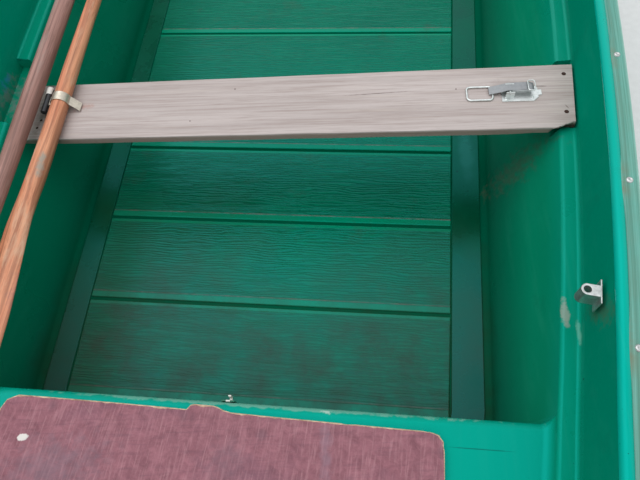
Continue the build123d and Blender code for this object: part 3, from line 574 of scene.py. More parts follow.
def margin_material():
    """Smooth border beside the floor planking, its green deepened by painted shade low in the corner, with a
    painted bluish sky reflection at starboard.
    """
    s = Shader("floor_margin_gelcoat", tint=GLOSS_TINT)
    cloud = s.noise(s.coords, 9.0, 5.0, 0.6)
    # Painted shade: base greens darkened as the liner is low down
    s.blend(s.span(cloud, 0.3, 0.7), srgb(0, 64, 40), srgb(0, 80, 52))
    # Painted reflection: pale bluish sky reflection at starboard
    painted_sky_sheen = s.patch((0.519, -0.430, 0.136), (0.025, 0.105, 0.03), 2, 0.6, 0.25, 30.0)
    s.over(s.times(painted_sky_sheen, 0.32), (52, 124, 118))
    s.over(aft_silt(s, 0.8, s.span(cloud, 0.3, 0.65, 0.5, 1.0)), (50, 44, 30))
    s.over(s.times(s.patch((0.4919, -0.4949, 0.136), (0.004, 0.004, 0.01), 0, 0.4), 0.9), SPECK)
    return s.done(s.span(cloud, 0.3, 0.7, 0.22, 0.34), s.bump(cloud, 0.2, 0.002))


BOARD_MARKS = [
    ((-0.371, -1.3138, 0.405), (0.011, 0.007, 0.01), 20, (212, 206, 200), 1.0, 0.2, 0.4),
    ((0.196, -1.30, 0.405), (0.013, 0.075, 0.02), 4, (126, 112, 126), 0.35, 0.9, 0.6),
    ((-0.30, -1.36, 0.405), (0.12, 0.06, 0.02), 14, (112, 96, 108), 0.45, 0.9, 0.6),
    ((0.02, -1.33, 0.405), (0.05, 0.05, 0.02), 0, (104, 84, 96), 0.35, 0.9, 0.6),
]


def board_material():
    """Film-faced plywood: wine red, blotchy, bruised, with grey clouds and random fine scratches."""
    s = Shader("board_film", specular=0.3)
    mottle = s.noise(s.coords, 46.0, 6.0, 0.72, 0.5)
    s.blend(s.span(mottle, 0.32, 0.68), srgb(116, 68, 78), srgb(150, 96, 106))
    cloud = s.noise(s.coords, 7.0, 5.0, 0.65)
    s.tone(cloud, 0.5, 0.75, 0.5, (100, 74, 90))
    s.tone(s.cells(s.mapped((9, 9, 9)), 1.6), 0.2, 0.06, 0.35, (78, 60, 72))
    for turn, shift in ((12, 0.0), (-48, 5.0), (71, 9.0)):
        scratch = s.noise(s.mapped((330, 9, 10), turn, (shift, shift, 0)), 1.0, 5.0, 0.7, 0.3)
        s.tone(scratch, 0.64, 0.74, 0.45, (168, 128, 128))
    s.tone(s.noise(s.mapped((210, 15, 10), 4), 1.0, 4.0, 0.65, 0.4), 0.5, 0.7, 0.4, (182, 134, 140))
    s.tone(s.noise(s.mapped((14, 190, 10), -5), 1.0, 4.0, 0.65, 0.6), 0.52, 0.74, 0.35, (92, 60, 74))
    s.tone(s.noise(s.coords, 30.0, 6.0, 0.75), 0.62, 0.8, 0.5, (150, 118, 120))
    s.damage(BOARD_MARKS)
    return s.done(s.span(cloud, 0.3, 0.7, 0.45, 0.62), s.bump(mottle, 0.3, 0.0008))


def splinter_material():
    """Bare veneer at the board's broken edges."""
    s = Shader("board_edge", specular=0.25)
    fibre = s.noise(s.mapped((60, 240, 400)), 1.0, 4.0, 0.7)
    s.blend(s.span(fibre, 0.32, 0.66), srgb(140, 104, 84), srgb(214, 184, 156))
    return s.done(0.8, s.bump(fibre, 0.6, 0.001))


# Mesh building
def mesh_object(name, verts, faces):
    mesh = bpy.data.meshes.new(name)
    mesh.from_pydata([tuple(v) for v in verts], [], faces)
    mesh.update()
    return linked(name, mesh)


@contextmanager
def edited(mesh):
    """The mesh opened for editing, and written back."""
    work = bmesh.new()
    work.from_mesh(mesh)
    yield work
    work.to_mesh(mesh)
    work.free()


def recalculated(piece):
    """Turn all faces outwards and merge points that coincide."""
    with edited(piece.data) as work:
        bmesh.ops.remove_doubles(work, verts=work.verts, dist=1e-6)
        bmesh.ops.recalc_face_normals(work, faces=work.faces)
    return piece


def loft(name, rings, caps=True, closed=True):
    """A skin through rings that have as many points each."""
    count = len(rings[0])
    verts = [p for points in rings for p in points]
    faces = []
    for i in range(len(rings) - 1):
        for j in range(count if closed else count - 1):
            k = (j + 1) % count
            faces.append((i * count + j, i * count + k, (i + 1) * count + k, (i + 1) * count + j))
    if caps:
        faces.append(tuple(range(count)))
        faces.append(tuple(range((len(rings) - 1) * count, len(rings) * count)))
    return recalculated(mesh_object(name, verts, faces))


SOFT_ANGLE = 35


def shade(piece, angle):
    piece.data.shade_smooth()
    piece.data.set_sharp_from_angle(angle=math.radians(angle))
    return piece


def soften(piece, width, segments=3):
    """Round all the sharp edges."""
    configured(piece.modifiers.new("rounding", "BEVEL"), width=width, segments=segments,
               limit_method="ANGLE", angle_limit=math.radians(SOFT_ANGLE))
    configured(piece.modifiers.new("normals", "WEIGHTED_NORMAL"), keep_sharp=True)
    piece.data.shade_smooth()
    return piece


def dress(piece, material, body="boat", stands_for=()):
    """Give a piece its material and body, and the solids that it stands for."""
    piece.data.materials.clear()
    piece.data.materials.append(material)
    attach(piece, body)
    if stands_for:
        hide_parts(*stands_for)
    return piece


def joined(name, pieces):
    """One mesh from several."""
    work = bmesh.new()
    for piece in pieces:
        start = len(work.verts)
        work.from_mesh(piece.data)
        work.verts.ensure_lookup_table()
        bmesh.ops.transform(work, matrix=piece.matrix_world, verts=work.verts[start:])
        bpy.data.objects.remove(piece)
    mesh = bpy.data.meshes.new(name)
    work.to_mesh(mesh)
    work.free()
    return linked(name, mesh)


def from_solid(name, node, width, segments=3):
    """A copy of a solid's mesh with merged points, flat faces made whole and its edges rounded."""
    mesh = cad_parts[node].data.copy()
    if "custom_normal" in mesh.attributes:
        mesh.attributes.remove(mesh.attributes["custom_normal"])
    with edited(mesh) as work:
        bmesh.ops.remove_doubles(work, verts=work.verts, dist=1e-5)
        bmesh.ops.dissolve_limit(work, angle_limit=math.radians(1.0), verts=work.verts, edges=work.edges)
        bmesh.ops.recalc_face_normals(work, faces=work.faces)
    return soften(linked(name, mesh), width, segments)


def stand_in(node, tail, width, material, segments=3):
    """A solid's own mesh, rounded and dressed in its place."""
    dress(from_solid(node + tail, node, width, segments), material, stands_for=[node])


def rows(low, high, keys=(), step=ROW_STEP):
    """Evenly spaced places from low to high that take in the key places."""
    stops = sorted({low, high, *[k for k in keys if low < k < high]})
    made = []
    for a, b in zip(stops[:-1], stops[1:]):
        count = max(1, round((b - a) / step))
        made += [a + (b - a) * i / count for i in range(count)]
    return made + [high]


# Outer hull
def planked_side(y):
    """Starboard outline of the lapped planking with eased laps."""
    corners = land_corners(y)
    step = LAND * min(1.0, (STEM_Y - y) / LAND_FADE + 0.15)
    points = corners[:2]
    for lower, upper in zip(corners[1:-1], corners[2:]):
        out, along = outward(lower, upper), (upper - lower).normalized()
        points += [lower + out * (step - LAND_ROUND),
                   lower + out * (step - LAND_ROUND * 0.3) + along * LAND_ROUND * 0.3,
                   lower + out * step + along * LAND_ROUND, upper]
    return points


def make_hull(coats):
    rings = []
    for y in rows(STERN_Y, STEM_Y, step=0.04):
        outer, inner = planked_side(y), inner_side(y)
        right = outer + list(reversed(inner))
        left = [(-x, z) for x, z in inner[1:]] + [(-x, z) for x, z in reversed(outer[1:])]
        rings.append([place(x, y, z) for x, z in right + left])
    hull = shade(loft("hull_planking", rings), 28)
    dress(hull, coats["hull"], stands_for=["hull_shell"])
    for node, width in (("transom", 0.004), ("stem_cap", 0.003), ("keel", 0.006),
                        ("runner_starboard", 0.005), ("runner_port", 0.005)):
        stand_in(node, "_moulding", width, coats["hull"])


# Inner moulding, whose creases are rounded by shares of one width
CREASE_WIDTH = 0.034
LEDGE_CREASE = 0.20
NOTCH_CREASE = 0.04
NOTCH_END_CREASE = 0.05
BASE_CREASES = {"bench": 0.45, "corner": 0.36}
BENCH_FRONT_CREASE = 0.5
BENCH_SIDE_CREASE = 0.4
END_WALL_CREASE = 0.3


def make_liner(coats):
    """One moulded skin: upper walls, ledges with notches, side panels, floor, benches and end walls."""
    notch_ys = sorted(NOTCHES[1] + NOTCHES[-1])
    ys = rows(STERN_Y, DECK_Y, [BENCH_EDGE_Y, BOW_FACE_Y] + notch_ys)
    verts, weights, faces, index = [], {}, [], {}

    def spot(i, name, side):
        """The number of a named profile point, made when it is first asked for."""
        key = (i, name, side)
        if key in index:
            return index[key]
        y = ys[i]
        shelf = sheer(y) - LEDGE_DROP
        low = shelf - NOTCH_DEEP
        level = STERN_LEVEL if y < 0 else BOW_LEVEL
        x, z = {"head": (half_beam(y) - ROLL_IN, sheer(y) - ROLL_DEEP), "foot": (wall_foot(y), shelf),
                "edge": (ledge_inner(y), shelf), "foot_low": (wall_foot(y), low),
                "edge_low": (wall_x(y, low), low), "bench": (wall_x(y, level), level),
                "corner": (floor_half(y), FLOOR_Z)}[name]
        index[key] = len(verts)
        verts.append(place(side * x, y, z))
        return index[key]

    def pair(i, name, side):
        return spot(i, name, side), spot(i + 1, name, side)

    def crease(a, b, weight):
        weights[frozenset((a, b))] = weight

    def in_notch(y, side):
        return NOTCHES[side][0] < y < NOTCHES[side][1]

    def over_bench(y):
        return y < BENCH_EDGE_Y or y > BOW_FACE_Y

    def chain(i, mid, side):
        """Points down the lower wall at a row, for the span whose middle is given."""
        y = ys[i]
        names = ["edge_low"] if in_notch(mid, side) else ["edge"]
        if not in_notch(mid, side) and y in NOTCHES[side]:
            names.append("edge_low")
        if over_bench(mid) or y in (BENCH_EDGE_Y, BOW_FACE_Y):
            names.append("bench")
        if not over_bench(mid):
            names.append("corner")
        return [spot(i, n, side) for n in names]

    for i in range(len(ys) - 1):
        mid = (ys[i] + ys[i + 1]) / 2
        base = "bench" if over_bench(mid) else "corner"
        for side in (1, -1):
            head, foot = pair(i, "head", side), pair(i, "foot", side)
            faces.append([head[0], foot[0], foot[1], head[1]])
            shelf_out, shelf_in = foot, pair(i, "edge", side)
            if in_notch(mid, side):
                shelf_out, shelf_in = pair(i, "foot_low", side), pair(i, "edge_low", side)
                faces.append([foot[0], shelf_out[0], shelf_out[1], foot[1]])
            faces.append([shelf_out[0], shelf_in[0], shelf_in[1], shelf_out[1]])
            for shelf in (shelf_out, shelf_in):
                crease(*shelf, NOTCH_CREASE if in_notch(mid, side) else LEDGE_CREASE)
            faces.append(chain(i, mid, side) + list(reversed(chain(i + 1, mid, side))))
            crease(*pair(i, base, side), BASE_CREASES[base])
        faces.append([spot(i, base, 1), spot(i, base, -1), spot(i + 1, base, -1), spot(i + 1, base, 1)])

    for side in (1, -1):
        for y in NOTCHES[side]:
            i = ys.index(y)
            foot, edge = spot(i, "foot", side), spot(i, "edge", side)
            low_foot, low_edge = spot(i, "foot_low", side), spot(i, "edge_low", side)
            faces.append([foot, edge, low_edge, low_foot])
            for a, b in ((foot, edge), (low_foot, low_edge), (edge, low_edge)):
                crease(a, b, NOTCH_END_CREASE)
    for y in (BENCH_EDGE_Y, BOW_FACE_Y):
        i = ys.index(y)
        bench = [spot(i, "bench", side) for side in (1, -1)]
        corner = [spot(i, "corner", side) for side in (1, -1)]
        faces.append([bench[0], bench[1], corner[1], corner[0]])
        crease(*bench, BENCH_FRONT_CREASE)
        crease(*corner, BENCH_FRONT_CREASE)
        for a, b in zip(bench, corner):
            crease(a, b, BENCH_SIDE_CREASE)
    names = ["head", "foot", "edge", "bench"]
    for i in (0, len(ys) - 1):
        right = [spot(i, n, 1) for n in names]
        left = [spot(i, n, -1) for n in names]
        line = right + list(reversed(left))
        faces.append(line)
        for a, b in zip(line[:-1], line[1:]):
            crease(a, b, END_WALL_CREASE)

    liner = mesh_object("liner", verts, faces)
    with edited(liner.data) as work:
        bmesh.ops.recalc_face_normals(work, faces=work.faces)
        if sum(f.normal.z * f.calc_area() for f in work.faces) < 0:
            bmesh.ops.reverse_faces(work, faces=work.faces)
        layer = work.edges.layers.float.new("bevel_weight_edge")
        for edge in work.edges:
            edge[layer] = weights.get(frozenset(v.index for v in edge.verts), 0.0)
    configured(liner.modifiers.new("rounding", "BEVEL"), limit_method="WEIGHT", width=CREASE_WIDTH,
               segments=6, use_clamp_overlap=False, loop_slide=True)
    configured(liner.modifiers.new("normals", "WEIGHTED_NORMAL"), weight=60)
    liner.data.shade_smooth()
    stands_for = [node + side for node in ("upper_wall", "ledge", "side_panel")
                  for side in ("_starboard", "_port")]
    stands_for += ["floor", "stern_bench", "bow_bench", "stern_wall", "bow_bulkhead"]
    dress(liner, coats["liner"], stands_for=stands_for)


# Floor planking with grooves, and the smooth borders beside it
PANEL_MARGINS = {1: 0.0905, -1: 0.0745}
PANEL_RISE = 0.004
PANEL_PITCH = 0.25
PANEL_GAP = 0.009
PANEL_END_GAP = 0.03
PANEL_FIRST = 0.04
PANEL_SHORTEST = 0.04
PANEL_SINK = 0.002
PANEL_ROUND = 0.0035
BORDER_END_GAP = 0.012
BORDER_LAP = 0.003
BORDER_OUT = 0.0135
BORDER_RISES = (0.0022, 0.0034)
BORDER_ROUND = 0.0016


def make_floor(material, margin):
    groove = BENCH_EDGE_Y + PANEL_FIRST + PANEL_PITCH
    edges = [BENCH_EDGE_Y + PANEL_END_GAP]
    while groove < BOW_FACE_Y - PANEL_END_GAP - PANEL_SHORTEST:
        edges.append(groove)
        groove += PANEL_PITCH
    edges.append(BOW_FACE_Y - PANEL_END_GAP)
    low_z = FLOOR_Z - PANEL_SINK
    planks = []
    for aft, fore in zip(edges[:-1], edges[1:]):
        low, high = aft + PANEL_GAP / 2, fore - PANEL_GAP / 2
        corners = [(side * (floor_half(y) - PANEL_MARGINS[side]), y)
                   for side, y in ((-1, low), (1, low), (1, high), (-1, high))]
        planks.append(loft("plank", [[Vector((x, y, z)) for x, y in corners]
                                     for z in (low_z, FLOOR_Z + PANEL_RISE)]))
    floor = soften(joined("floor_planking", planks), PANEL_ROUND, 4)
    dress(floor, material, stands_for=["floor_planks"])
    borders = []
    for side in (1, -1):
        rings = []
        for y in rows(BENCH_EDGE_Y + BORDER_END_GAP, BOW_FACE_Y - BORDER_END_GAP):
            inner = side * (floor_half(y) - PANEL_MARGINS[side] + BORDER_LAP)
            outer = side * (floor_half(y) - BORDER_OUT)
            inner_z, outer_z = (FLOOR_Z + rise for rise in BORDER_RISES)
            rings.append([Vector((x, y, z)) for x, z in ((inner, low_z), (inner, inner_z),
                                                         (outer, outer_z), (outer, low_z))])
        borders.append(loft("border", rings))
    dress(soften(joined("floor_margins", borders), BORDER_ROUND), margin)


# Gunwale roll and rub strake
ROLL_IN = 0.051
ROLL_RADIUS = 0.0115
ROLL_DEEP = 0.0105
ROLL_TUCK = 0.0015
ROLL_UNDER = 0.001
SCREW_PITCH = 0.32
SCREW_FIRST = -1.13
SCREW_IN = 0.015
SCREW_RISE = 0.0008
WAVE_IN = 0.005
WAVE_LONG = 0.055
RIM_RADIUS = 0.008
STRIP_INSET = 0.0003
STRIP_STEPS = 16
# Height and place across the strip, as a share, of its groove and its rim
STRIP_GROOVE = (0.0010, 0.42)
STRIP_RIM = (0.0007, 0.92)
# Section of a countersunk screw in its cup washer
SCREW_LINE = [(0.0, 0.0006), (0.0010, 0.0006), (0.0014, 0.0014), (0.0030, 0.0024), (0.0040, 0.0026),
              (0.0056, 0.0018), (0.0068, 0.0002), (0.0068, -0.001), (0.0, -0.001)]


def screw_places():
    count = int((STEM_Y - 0.2 - SCREW_FIRST) / SCREW_PITCH) + 1
    return [SCREW_FIRST + k * SCREW_PITCH for k in range(-1, count)]


def bulge(y):
    """How far the strake's inner lip is pushed inwards near its screws."""
    near = min(abs(y - place_y) for place_y in screw_places())
    drift = 0.0012 * noise.noise(Vector((y * 6, 2.0, 0)))
    return WAVE_IN * math.exp(-(near / WAVE_LONG) ** 2) + drift


def strip_width(y):
    """Width of the plastic strake between its screws."""
    return min(0.031, max(0.0265, 0.029 - 0.0085 * (y + 0.63)))


def arc_points(centre, radius, start, end, count, deep=None):
    """Points on an arc in the section plane, by degrees, with its own height if deep is given."""
    made = []
    for k in range(count + 1):
        a = math.radians(start + (end - start) * k / count)
        made.append((centre[0] + radius * math.cos(a), centre[1] + (deep or radius) * math.sin(a)))
    return made


def roll_profile(y):
    """Closed section of the rounded gunwale, which runs straight down into the upper wall."""
    top, inner = sheer(y), half_beam(y) - ROLL_IN
    outer = half_beam(y) - strip_width(y) + ROLL_UNDER
    foot = inner + ROLL_TUCK
    centre = (inner + ROLL_RADIUS, top - ROLL_DEEP)
    return [(outer, top - ROLL_H), (outer, top - 0.010),
            *arc_points(centre, ROLL_RADIUS, 35, 180, 16, ROLL_DEEP),
            (foot, centre[1] - ROLL_TUCK), (foot, top - ROLL_H)]


def strake_profile(y):
    """Closed section of the plastic strake: thin inner lip, shallow groove and a rounded outer rim."""
    edge, top = half_beam(y) - STRIP_INSET, sheer(y) - STRAKE_DROP
    low, foot = top - STRAKE_H, edge - STRAKE_W + 0.001
    lip = edge - strip_width(y) - bulge(y)
    points = [(lip, top - 0.0012), (lip + 0.0008, top + 0.0006)]
    start, end = lip + 0.002, edge - 0.007
    for k in range(STRIP_STEPS + 1):
        share = k / STRIP_STEPS
        groove, rim = (deep * math.exp(-((share - middle) / 0.07) ** 2)
                       for deep, middle in (STRIP_GROOVE, STRIP_RIM))
        points.append((start + (end - start) * share, top + 0.0011 - groove + rim))
    points += arc_points((edge - RIM_RADIUS, top - 0.0072), RIM_RADIUS, 80, 0, 6)
    points += arc_points((edge - RIM_RADIUS, low + RIM_RADIUS), RIM_RADIUS, 0, -90, 5)
    return points + [(foot, low), (foot, top - 0.0025)]


def lathe(name, profile, count, matrix):
    """A turned piece about its own Z from (radius, height) pairs."""
    rings = []
    for k in range(count):
        a = 2 * math.pi * k / count
        rings.append([Vector((r * math.cos(a), r * math.sin(a), z)) for r, z in profile])
    made = loft(name, rings + [rings[0]], caps=False, closed=False)
    made.data.transform(matrix)
    return made


def make_gunwale(coats, strake, screw_steel):
    ys = rows(STERN_Y, STEM_Y, step=0.02)
    for side, flip in (("starboard", 1), ("port", -1)):
        for name, section, coat, slot, node in (
                ("gunwale_roll_", roll_profile, coats["gunwale"], "gunwale_gelcoat", "gunwale_"),
                ("rub_strip_", strake_profile, strake, "strake", "rub_strake_")):
            rings = [[place(flip * x, y, z) for x, z in section(y)] for y in ys]
            dress(shade(loft(name + side, rings), 60), coat, stands_for=[node + side])
        screws = []
        for y in screw_places():
            x = flip * (half_beam(y) - STRAKE_W + SCREW_IN)
            head = Matrix.Translation(place(x, y, sheer(y) - STRAKE_DROP + SCREW_RISE))
            screws.append(lathe("screw", SCREW_LINE, 20, head))
        dress(joined("strake_screws_" + side, screws), screw_steel)
    for node in ("rub_strake_stern", "bow_fender"):
        stand_in(node, "_section", 0.006, strake, 4)
    stand_in("gunwale_stern", "_section", 0.007, coats["gunwale"], 4)


# Thwart plank
PLANK_LONG = 1.400841
PLANK_W = 0.189
PLANK_THICK = 0.02
PLANK_X = 0.0235
PLANK_Y = -0.506
PLANK_Z = 0.397318
PLANK_SKEW = 1.85
PLANK_TILT = math.radians(1.363924)
PLANK_TRIM_LONG = 0.034
PLANK_TRIM_WIDE = 0.070
PLANK_TAPER = 0.0044
PLANK_BEND = 0.0007
PLANK_SAG = 0.0025
SAG_REACH = 0.60
PLANK_EDGE = 0.003
END_CUT = 0.022
END_CUT_LONG = 0.15
CHIP_LONG = 0.050
CHIP_WIDE = 0.018
CHIP_LOW_FROM = 0.042
CHIP_LOW_LONG = 0.068
CHIP_LOW_WIDE = 0.0145
PLANK_END = 0.704
PLANK_TOP = PLANK_Z + PLANK_THICK - PLANK_X * math.tan(PLANK_TILT)

# Stains, damage and a painted shadow on the plank: centre, size, turn, colour, amount, edge width, raggedness
PLANK_MARKS = [
    ((0.254, -0.4745, 0.423), (0.098, 0.0011, 0.01), 4.1, (70, 56, 48), 0.8, 0.6, 0.35),
    ((0.645, -0.4557, 0.432), (0.016, 0.0012, 0.01), -1.0, (60, 48, 42), 0.85, 0.5, 0.3),
    ((0.6956, -0.5194, 0.433), (0.009, 0.0014, 0.01), -58.7, (78, 62, 56), 0.7, 0.5, 0.2),
    ((-0.4937, -0.5109, 0.405), (0.034, 0.014, 0.02), 20.0, (160, 104, 88), 0.45, 0.9, 0.7),
    # Broken corner: colour of the fractured wood, darkened by painted shade on its face
    ((0.692, -0.574, 0.4180), (0.042, 0.018, 0.0145), 2.0, (52, 34, 26), 0.95, 0.35, 0.3),
    # Painted shadow of the outer oar on the plank
    ((-0.609, -0.551, 0.402), (0.050, 0.060, 0.03), 0.0, (112, 92, 84), 0.35, 0.9, 0.7),
    ((0.563, -0.460, 0.430), (0.060, 0.030, 0.02), 0.0, (120, 104, 98), 0.3, 0.9, 0.5),
]

# Holes in the plank's face, drawn as dark discs of painted shade: place on the boat and radius
PLANK_HOLES = [
    (0.7010, -0.4171, 0.0052), (0.6928, -0.5347, 0.0052), (-0.1000, -0.4545, 0.0016),
    (-0.1978, -0.5590, 0.0016), (0.4482, -0.4624, 0.0016), (-0.5986, -0.5803, 0.0034),
    (-0.5957, -0.5553, 0.0034),
]


def plank_frame():
    """Place of the plank's underside, tilted from the notch up to the starboard ledge."""
    turn = Matrix.Rotation(-PLANK_TILT, 4, "Y") @ turned(PLANK_SKEW, "Z")
    return Matrix.Translation((PLANK_X, PLANK_Y, PLANK_Z)) @ turn


def wander(x, scale, lane):
    """Uneven wear along the plank, between about -1 and 1."""
    return noise.noise(Vector((x * scale, lane, 0)))


def plank_section(x, half_l):
    """Outline across the plank at a distance along it, with its bends and its broken corner."""
    edge, nip, from_end = PLANK_EDGE, PLANK_EDGE * 0.3, PLANK_END - x
    half_w = PLANK_W / 2 + PLANK_TAPER * x
    low = -PLANK_SAG * smooth(0.0, 0.06, SAG_REACH - abs(x))
    under = low + 0.0003
    far = PLANK_BEND + half_w + 0.0007 * wander(x, 7, 5.0)
    near = PLANK_BEND - half_w + 0.0010 * wander(x, 9, 0.3)
    near += max(0.0, 1 - (x + half_l) / PLANK_TRIM_LONG) * PLANK_TRIM_WIDE
    wobble, split = 0.003 * wander(x, 90, 3.1), 0.002 * wander(x, 210, 8.1)
    near_top = near + max(0.0, 1 - from_end / CHIP_LONG) * (CHIP_WIDE + wobble)
    low_cut = 1 - smooth(CHIP_LOW_FROM, CHIP_LOW_LONG, from_end)
    near_low = near + low_cut * (CHIP_LOW_WIDE + wobble + split)
    top = PLANK_THICK - 0.0004 + 0.0006 * wander(x, 4, 9.0)
    ring = [(near_low + edge, under), (near_low, low + edge), ((near_low + near_top) / 2 + split, top * 0.55),
            (near_top, top - edge), (near_top + nip, top - nip), (near_top + edge, top)]
    for share in (0.2, 0.4, 0.6, 0.8):
        ring.append((near_top + (far - near_top) * share, top + 0.0003 * math.sin(9 * share + x * 5)))
    ring += [(far - edge, top), (far - nip, top - nip), (far, top - edge), (far, low + edge),
             (far - edge, under)]
    cut = END_CUT * max(0.0, 1 - from_end / END_CUT_LONG) / (2 * half_w)
    return [Vector((x - cut * (half_w - y), y, z)) for y, z in ring]


def make_thwart(material, dark):
    half_l = PLANK_LONG / 2
    plank = loft("thwart_board", [plank_section(x, half_l) for x in rows(-half_l, PLANK_END, step=0.006)])
    shade(plank, 30)
    plank.data.transform(plank_frame())
    dress(plank, material, stands_for=["thwart_plank"])
    tilt = Matrix.Rotation(-PLANK_TILT, 4, "Y")
    # Dark discs on the face paint the shade inside the nail holes
    holes = []
    for x, y, radius in PLANK_HOLES:
        disc = [(0.0, 0.0005), (radius * 0.8, 0.0005), (radius, 0.0)]
        face = Matrix.Translation((x, y, PLANK_TOP + x * math.tan(PLANK_TILT)))
        holes.append(lathe("hole", disc, 16, face @ tilt))
    dress(joined("thwart_nail_holes", holes), dark)


# Board on the stern bench: its front edge from port to starboard, then the other corners
BOARD_LOW = 0.3903
BOARD_CORE_TOP = 0.4042
BOARD_TOP = 0.405
BOARD_FRONT = [
    (-0.4340, -1.2660), (-0.4260, -1.2480), (-0.4060, -1.2378), (-0.3400, -1.2382), (-0.2200, -1.2398),
    (-0.1200, -1.2416), (-0.0700, -1.2430), (-0.0635, -1.2345), (-0.0560, -1.2325), (-0.0200, -1.2332),
    (-0.0120, -1.2350), (0.0020, -1.2405), (0.0150, -1.2432), (0.1000, -1.2458), (0.2000, -1.2480),
    (0.3000, -1.2502), (0.3770, -1.2518), (0.3930, -1.2570), (0.4010, -1.2680), (0.4030, -1.2860)]
BOARD_BACK = [(0.3960, -1.6330), (-0.4360, -1.6150)]
BOARD_STEP = 0.003
FACE_LAP = 0.002


def walked(line, step):
    """Points at even steps along a line of corners."""
    made = []
    for (xa, ya), (xb, yb) in zip(line[:-1], line[1:]):
        count = max(1, round(math.hypot(xb - xa, yb - ya) / step))
        made += [(xa + (xb - xa) * i / count, ya + (yb - ya) * i / count) for i in range(count)]
    return made + [line[-1]]


def frayed(line, worn, closed_by):
    """The line pushed in towards the board's middle by uneven wear, with the back corners added."""
    made = []
    for (xa, ya), (xb, yb) in zip(line[:-1], line[1:]):
        long = math.hypot(xb - xa, yb - ya)
        nx, ny = (yb - ya) / long, -(xb - xa) / long
        ripple = noise.noise(Vector((xa * 95, ya * 95, worn * 300)))
        nick = max(0.0, noise.noise(Vector((xa * 38, ya * 38, 7 + worn * 100))) - 0.32)
        push = worn * (0.55 + 0.6 * abs(ripple)) + nick * (0.004 + worn)
        made.append((xa + nx * push, ya + ny * push))
    return made + closed_by


def make_board(film, edge_wood):
    line = walked(BOARD_FRONT, BOARD_STEP)
    for name, worn, low, top, material, stands in (
            ("board_core", 0.0003, BOARD_LOW, BOARD_CORE_TOP, edge_wood, ["bench_board"]),
            ("board_face", 0.0034, BOARD_CORE_TOP - FACE_LAP, BOARD_TOP, film, ())):
        outline = frayed(line, worn, BOARD_BACK)
        rings = [[Vector((x, y, z)) for x, y in outline] for z in (low, top)]
        dress(shade(loft(name, rings), 30), material, stands_for=stands)


# Toggle latch on the plank: its place, and how far its pieces are moved along and across
ON_PLANK = (0.53742, 0.010, PLANK_THICK)
LATCH_SHIFT = -0.008
STRAP_SIDE = 0.006
STRAP_ALONG = 0.005
WIRE = 0.0024
BAIL_X = -0.050
RIVETS = ((0.010, 0.0205), (0.010, -0.0205), (0.070, 0.0150), (0.070, -0.0150))
RIVET_LINE = [(0.0, 0.0016), (0.0016, 0.0015), (0.0028, 0.0009), (0.0033, 0.0), (0.0, -0.0005)]
RIVET_Z = 0.002
AXLE = [Vector((0.018, y, 0.013)) for y in (-0.0165, 0.0185)]
LOOP_AT = (0.066, 0.0045, 0.0205)


def tube(name, path, radius, matrix, closed=False, count=10):
    """A round wire through the points of a path."""
    angles = [2 * math.pi * k / count for k in range(count)]
    round_wire = [Vector((radius * math.cos(a), radius * math.sin(a), 0)) for a in angles]
    rings = []
    for i, here in enumerate(path):
        before = path[i - 1] if i > 0 or closed else here
        after = path[(i + 1) % len(path)] if i < len(path) - 1 or closed else here
        turn = (after - before).to_track_quat("Z", "Y")
        rings.append([here + turn @ point for point in round_wire])
    if closed:
        rings.append(rings[0])
    made = shade(loft(name, rings, caps=not closed), 60)
    made.data.transform(matrix)
    return made


def round_corners(middle, half_x, half_y, radius):
    """Points round a level rectangle with rounded corners."""
    made = []
    for side_x, side_y, start in ((1, 1, 0), (-1, 1, 90), (-1, -1, 180), (1, -1, 270)):
        corner = (side_x * (half_x - radius), side_y * (half_y - radius))
        made += arc_points(corner, radius, start, start + 90, 6)
    return [Vector((x, y, 0)) + Vector(middle) for x, y in made]


def make_latch(steel, dark_steel):
    """The latch's plate with rivets, its strap with axle and loop, and the bent wire bail."""
    plank = plank_frame()
    here = plank @ Matrix.Translation(ON_PLANK) @ Matrix.Translation((LATCH_SHIFT, 0, 0))
    for node, metal, along, side in (("latch_base", steel, 0.0, 0.0),
                                     ("latch_lever", dark_steel, STRAP_ALONG, STRAP_SIDE)):
        piece = from_solid(node + "_piece", node, 0.0006)
        move = Matrix.Translation((LATCH_SHIFT + along, side, 0))
        piece.data.transform(plank @ move @ plank.inverted())
        dress(piece, metal, stands_for=[node])
    path = round_corners((BAIL_X, 0, WIRE + 0.0001), 0.032 - WIRE, 0.023 - WIRE, 0.009)
    bail = tube("latch_wire", path, WIRE - 0.0001, here, closed=True)
    dress(bail, steel, stands_for=["latch_bail"])
    parts = [lathe("rivet", RIVET_LINE, 16, here @ Matrix.Translation((x, y, RIVET_Z))) for x, y in RIVETS]
    parts.append(tube("axle", AXLE, 0.0025, here))
    parts.append(tube("loop", round_corners(LOOP_AT, 0.008, 0.0155, 0.005), 0.0013, here, closed=True))
    dress(joined("latch_rivets", parts), steel)


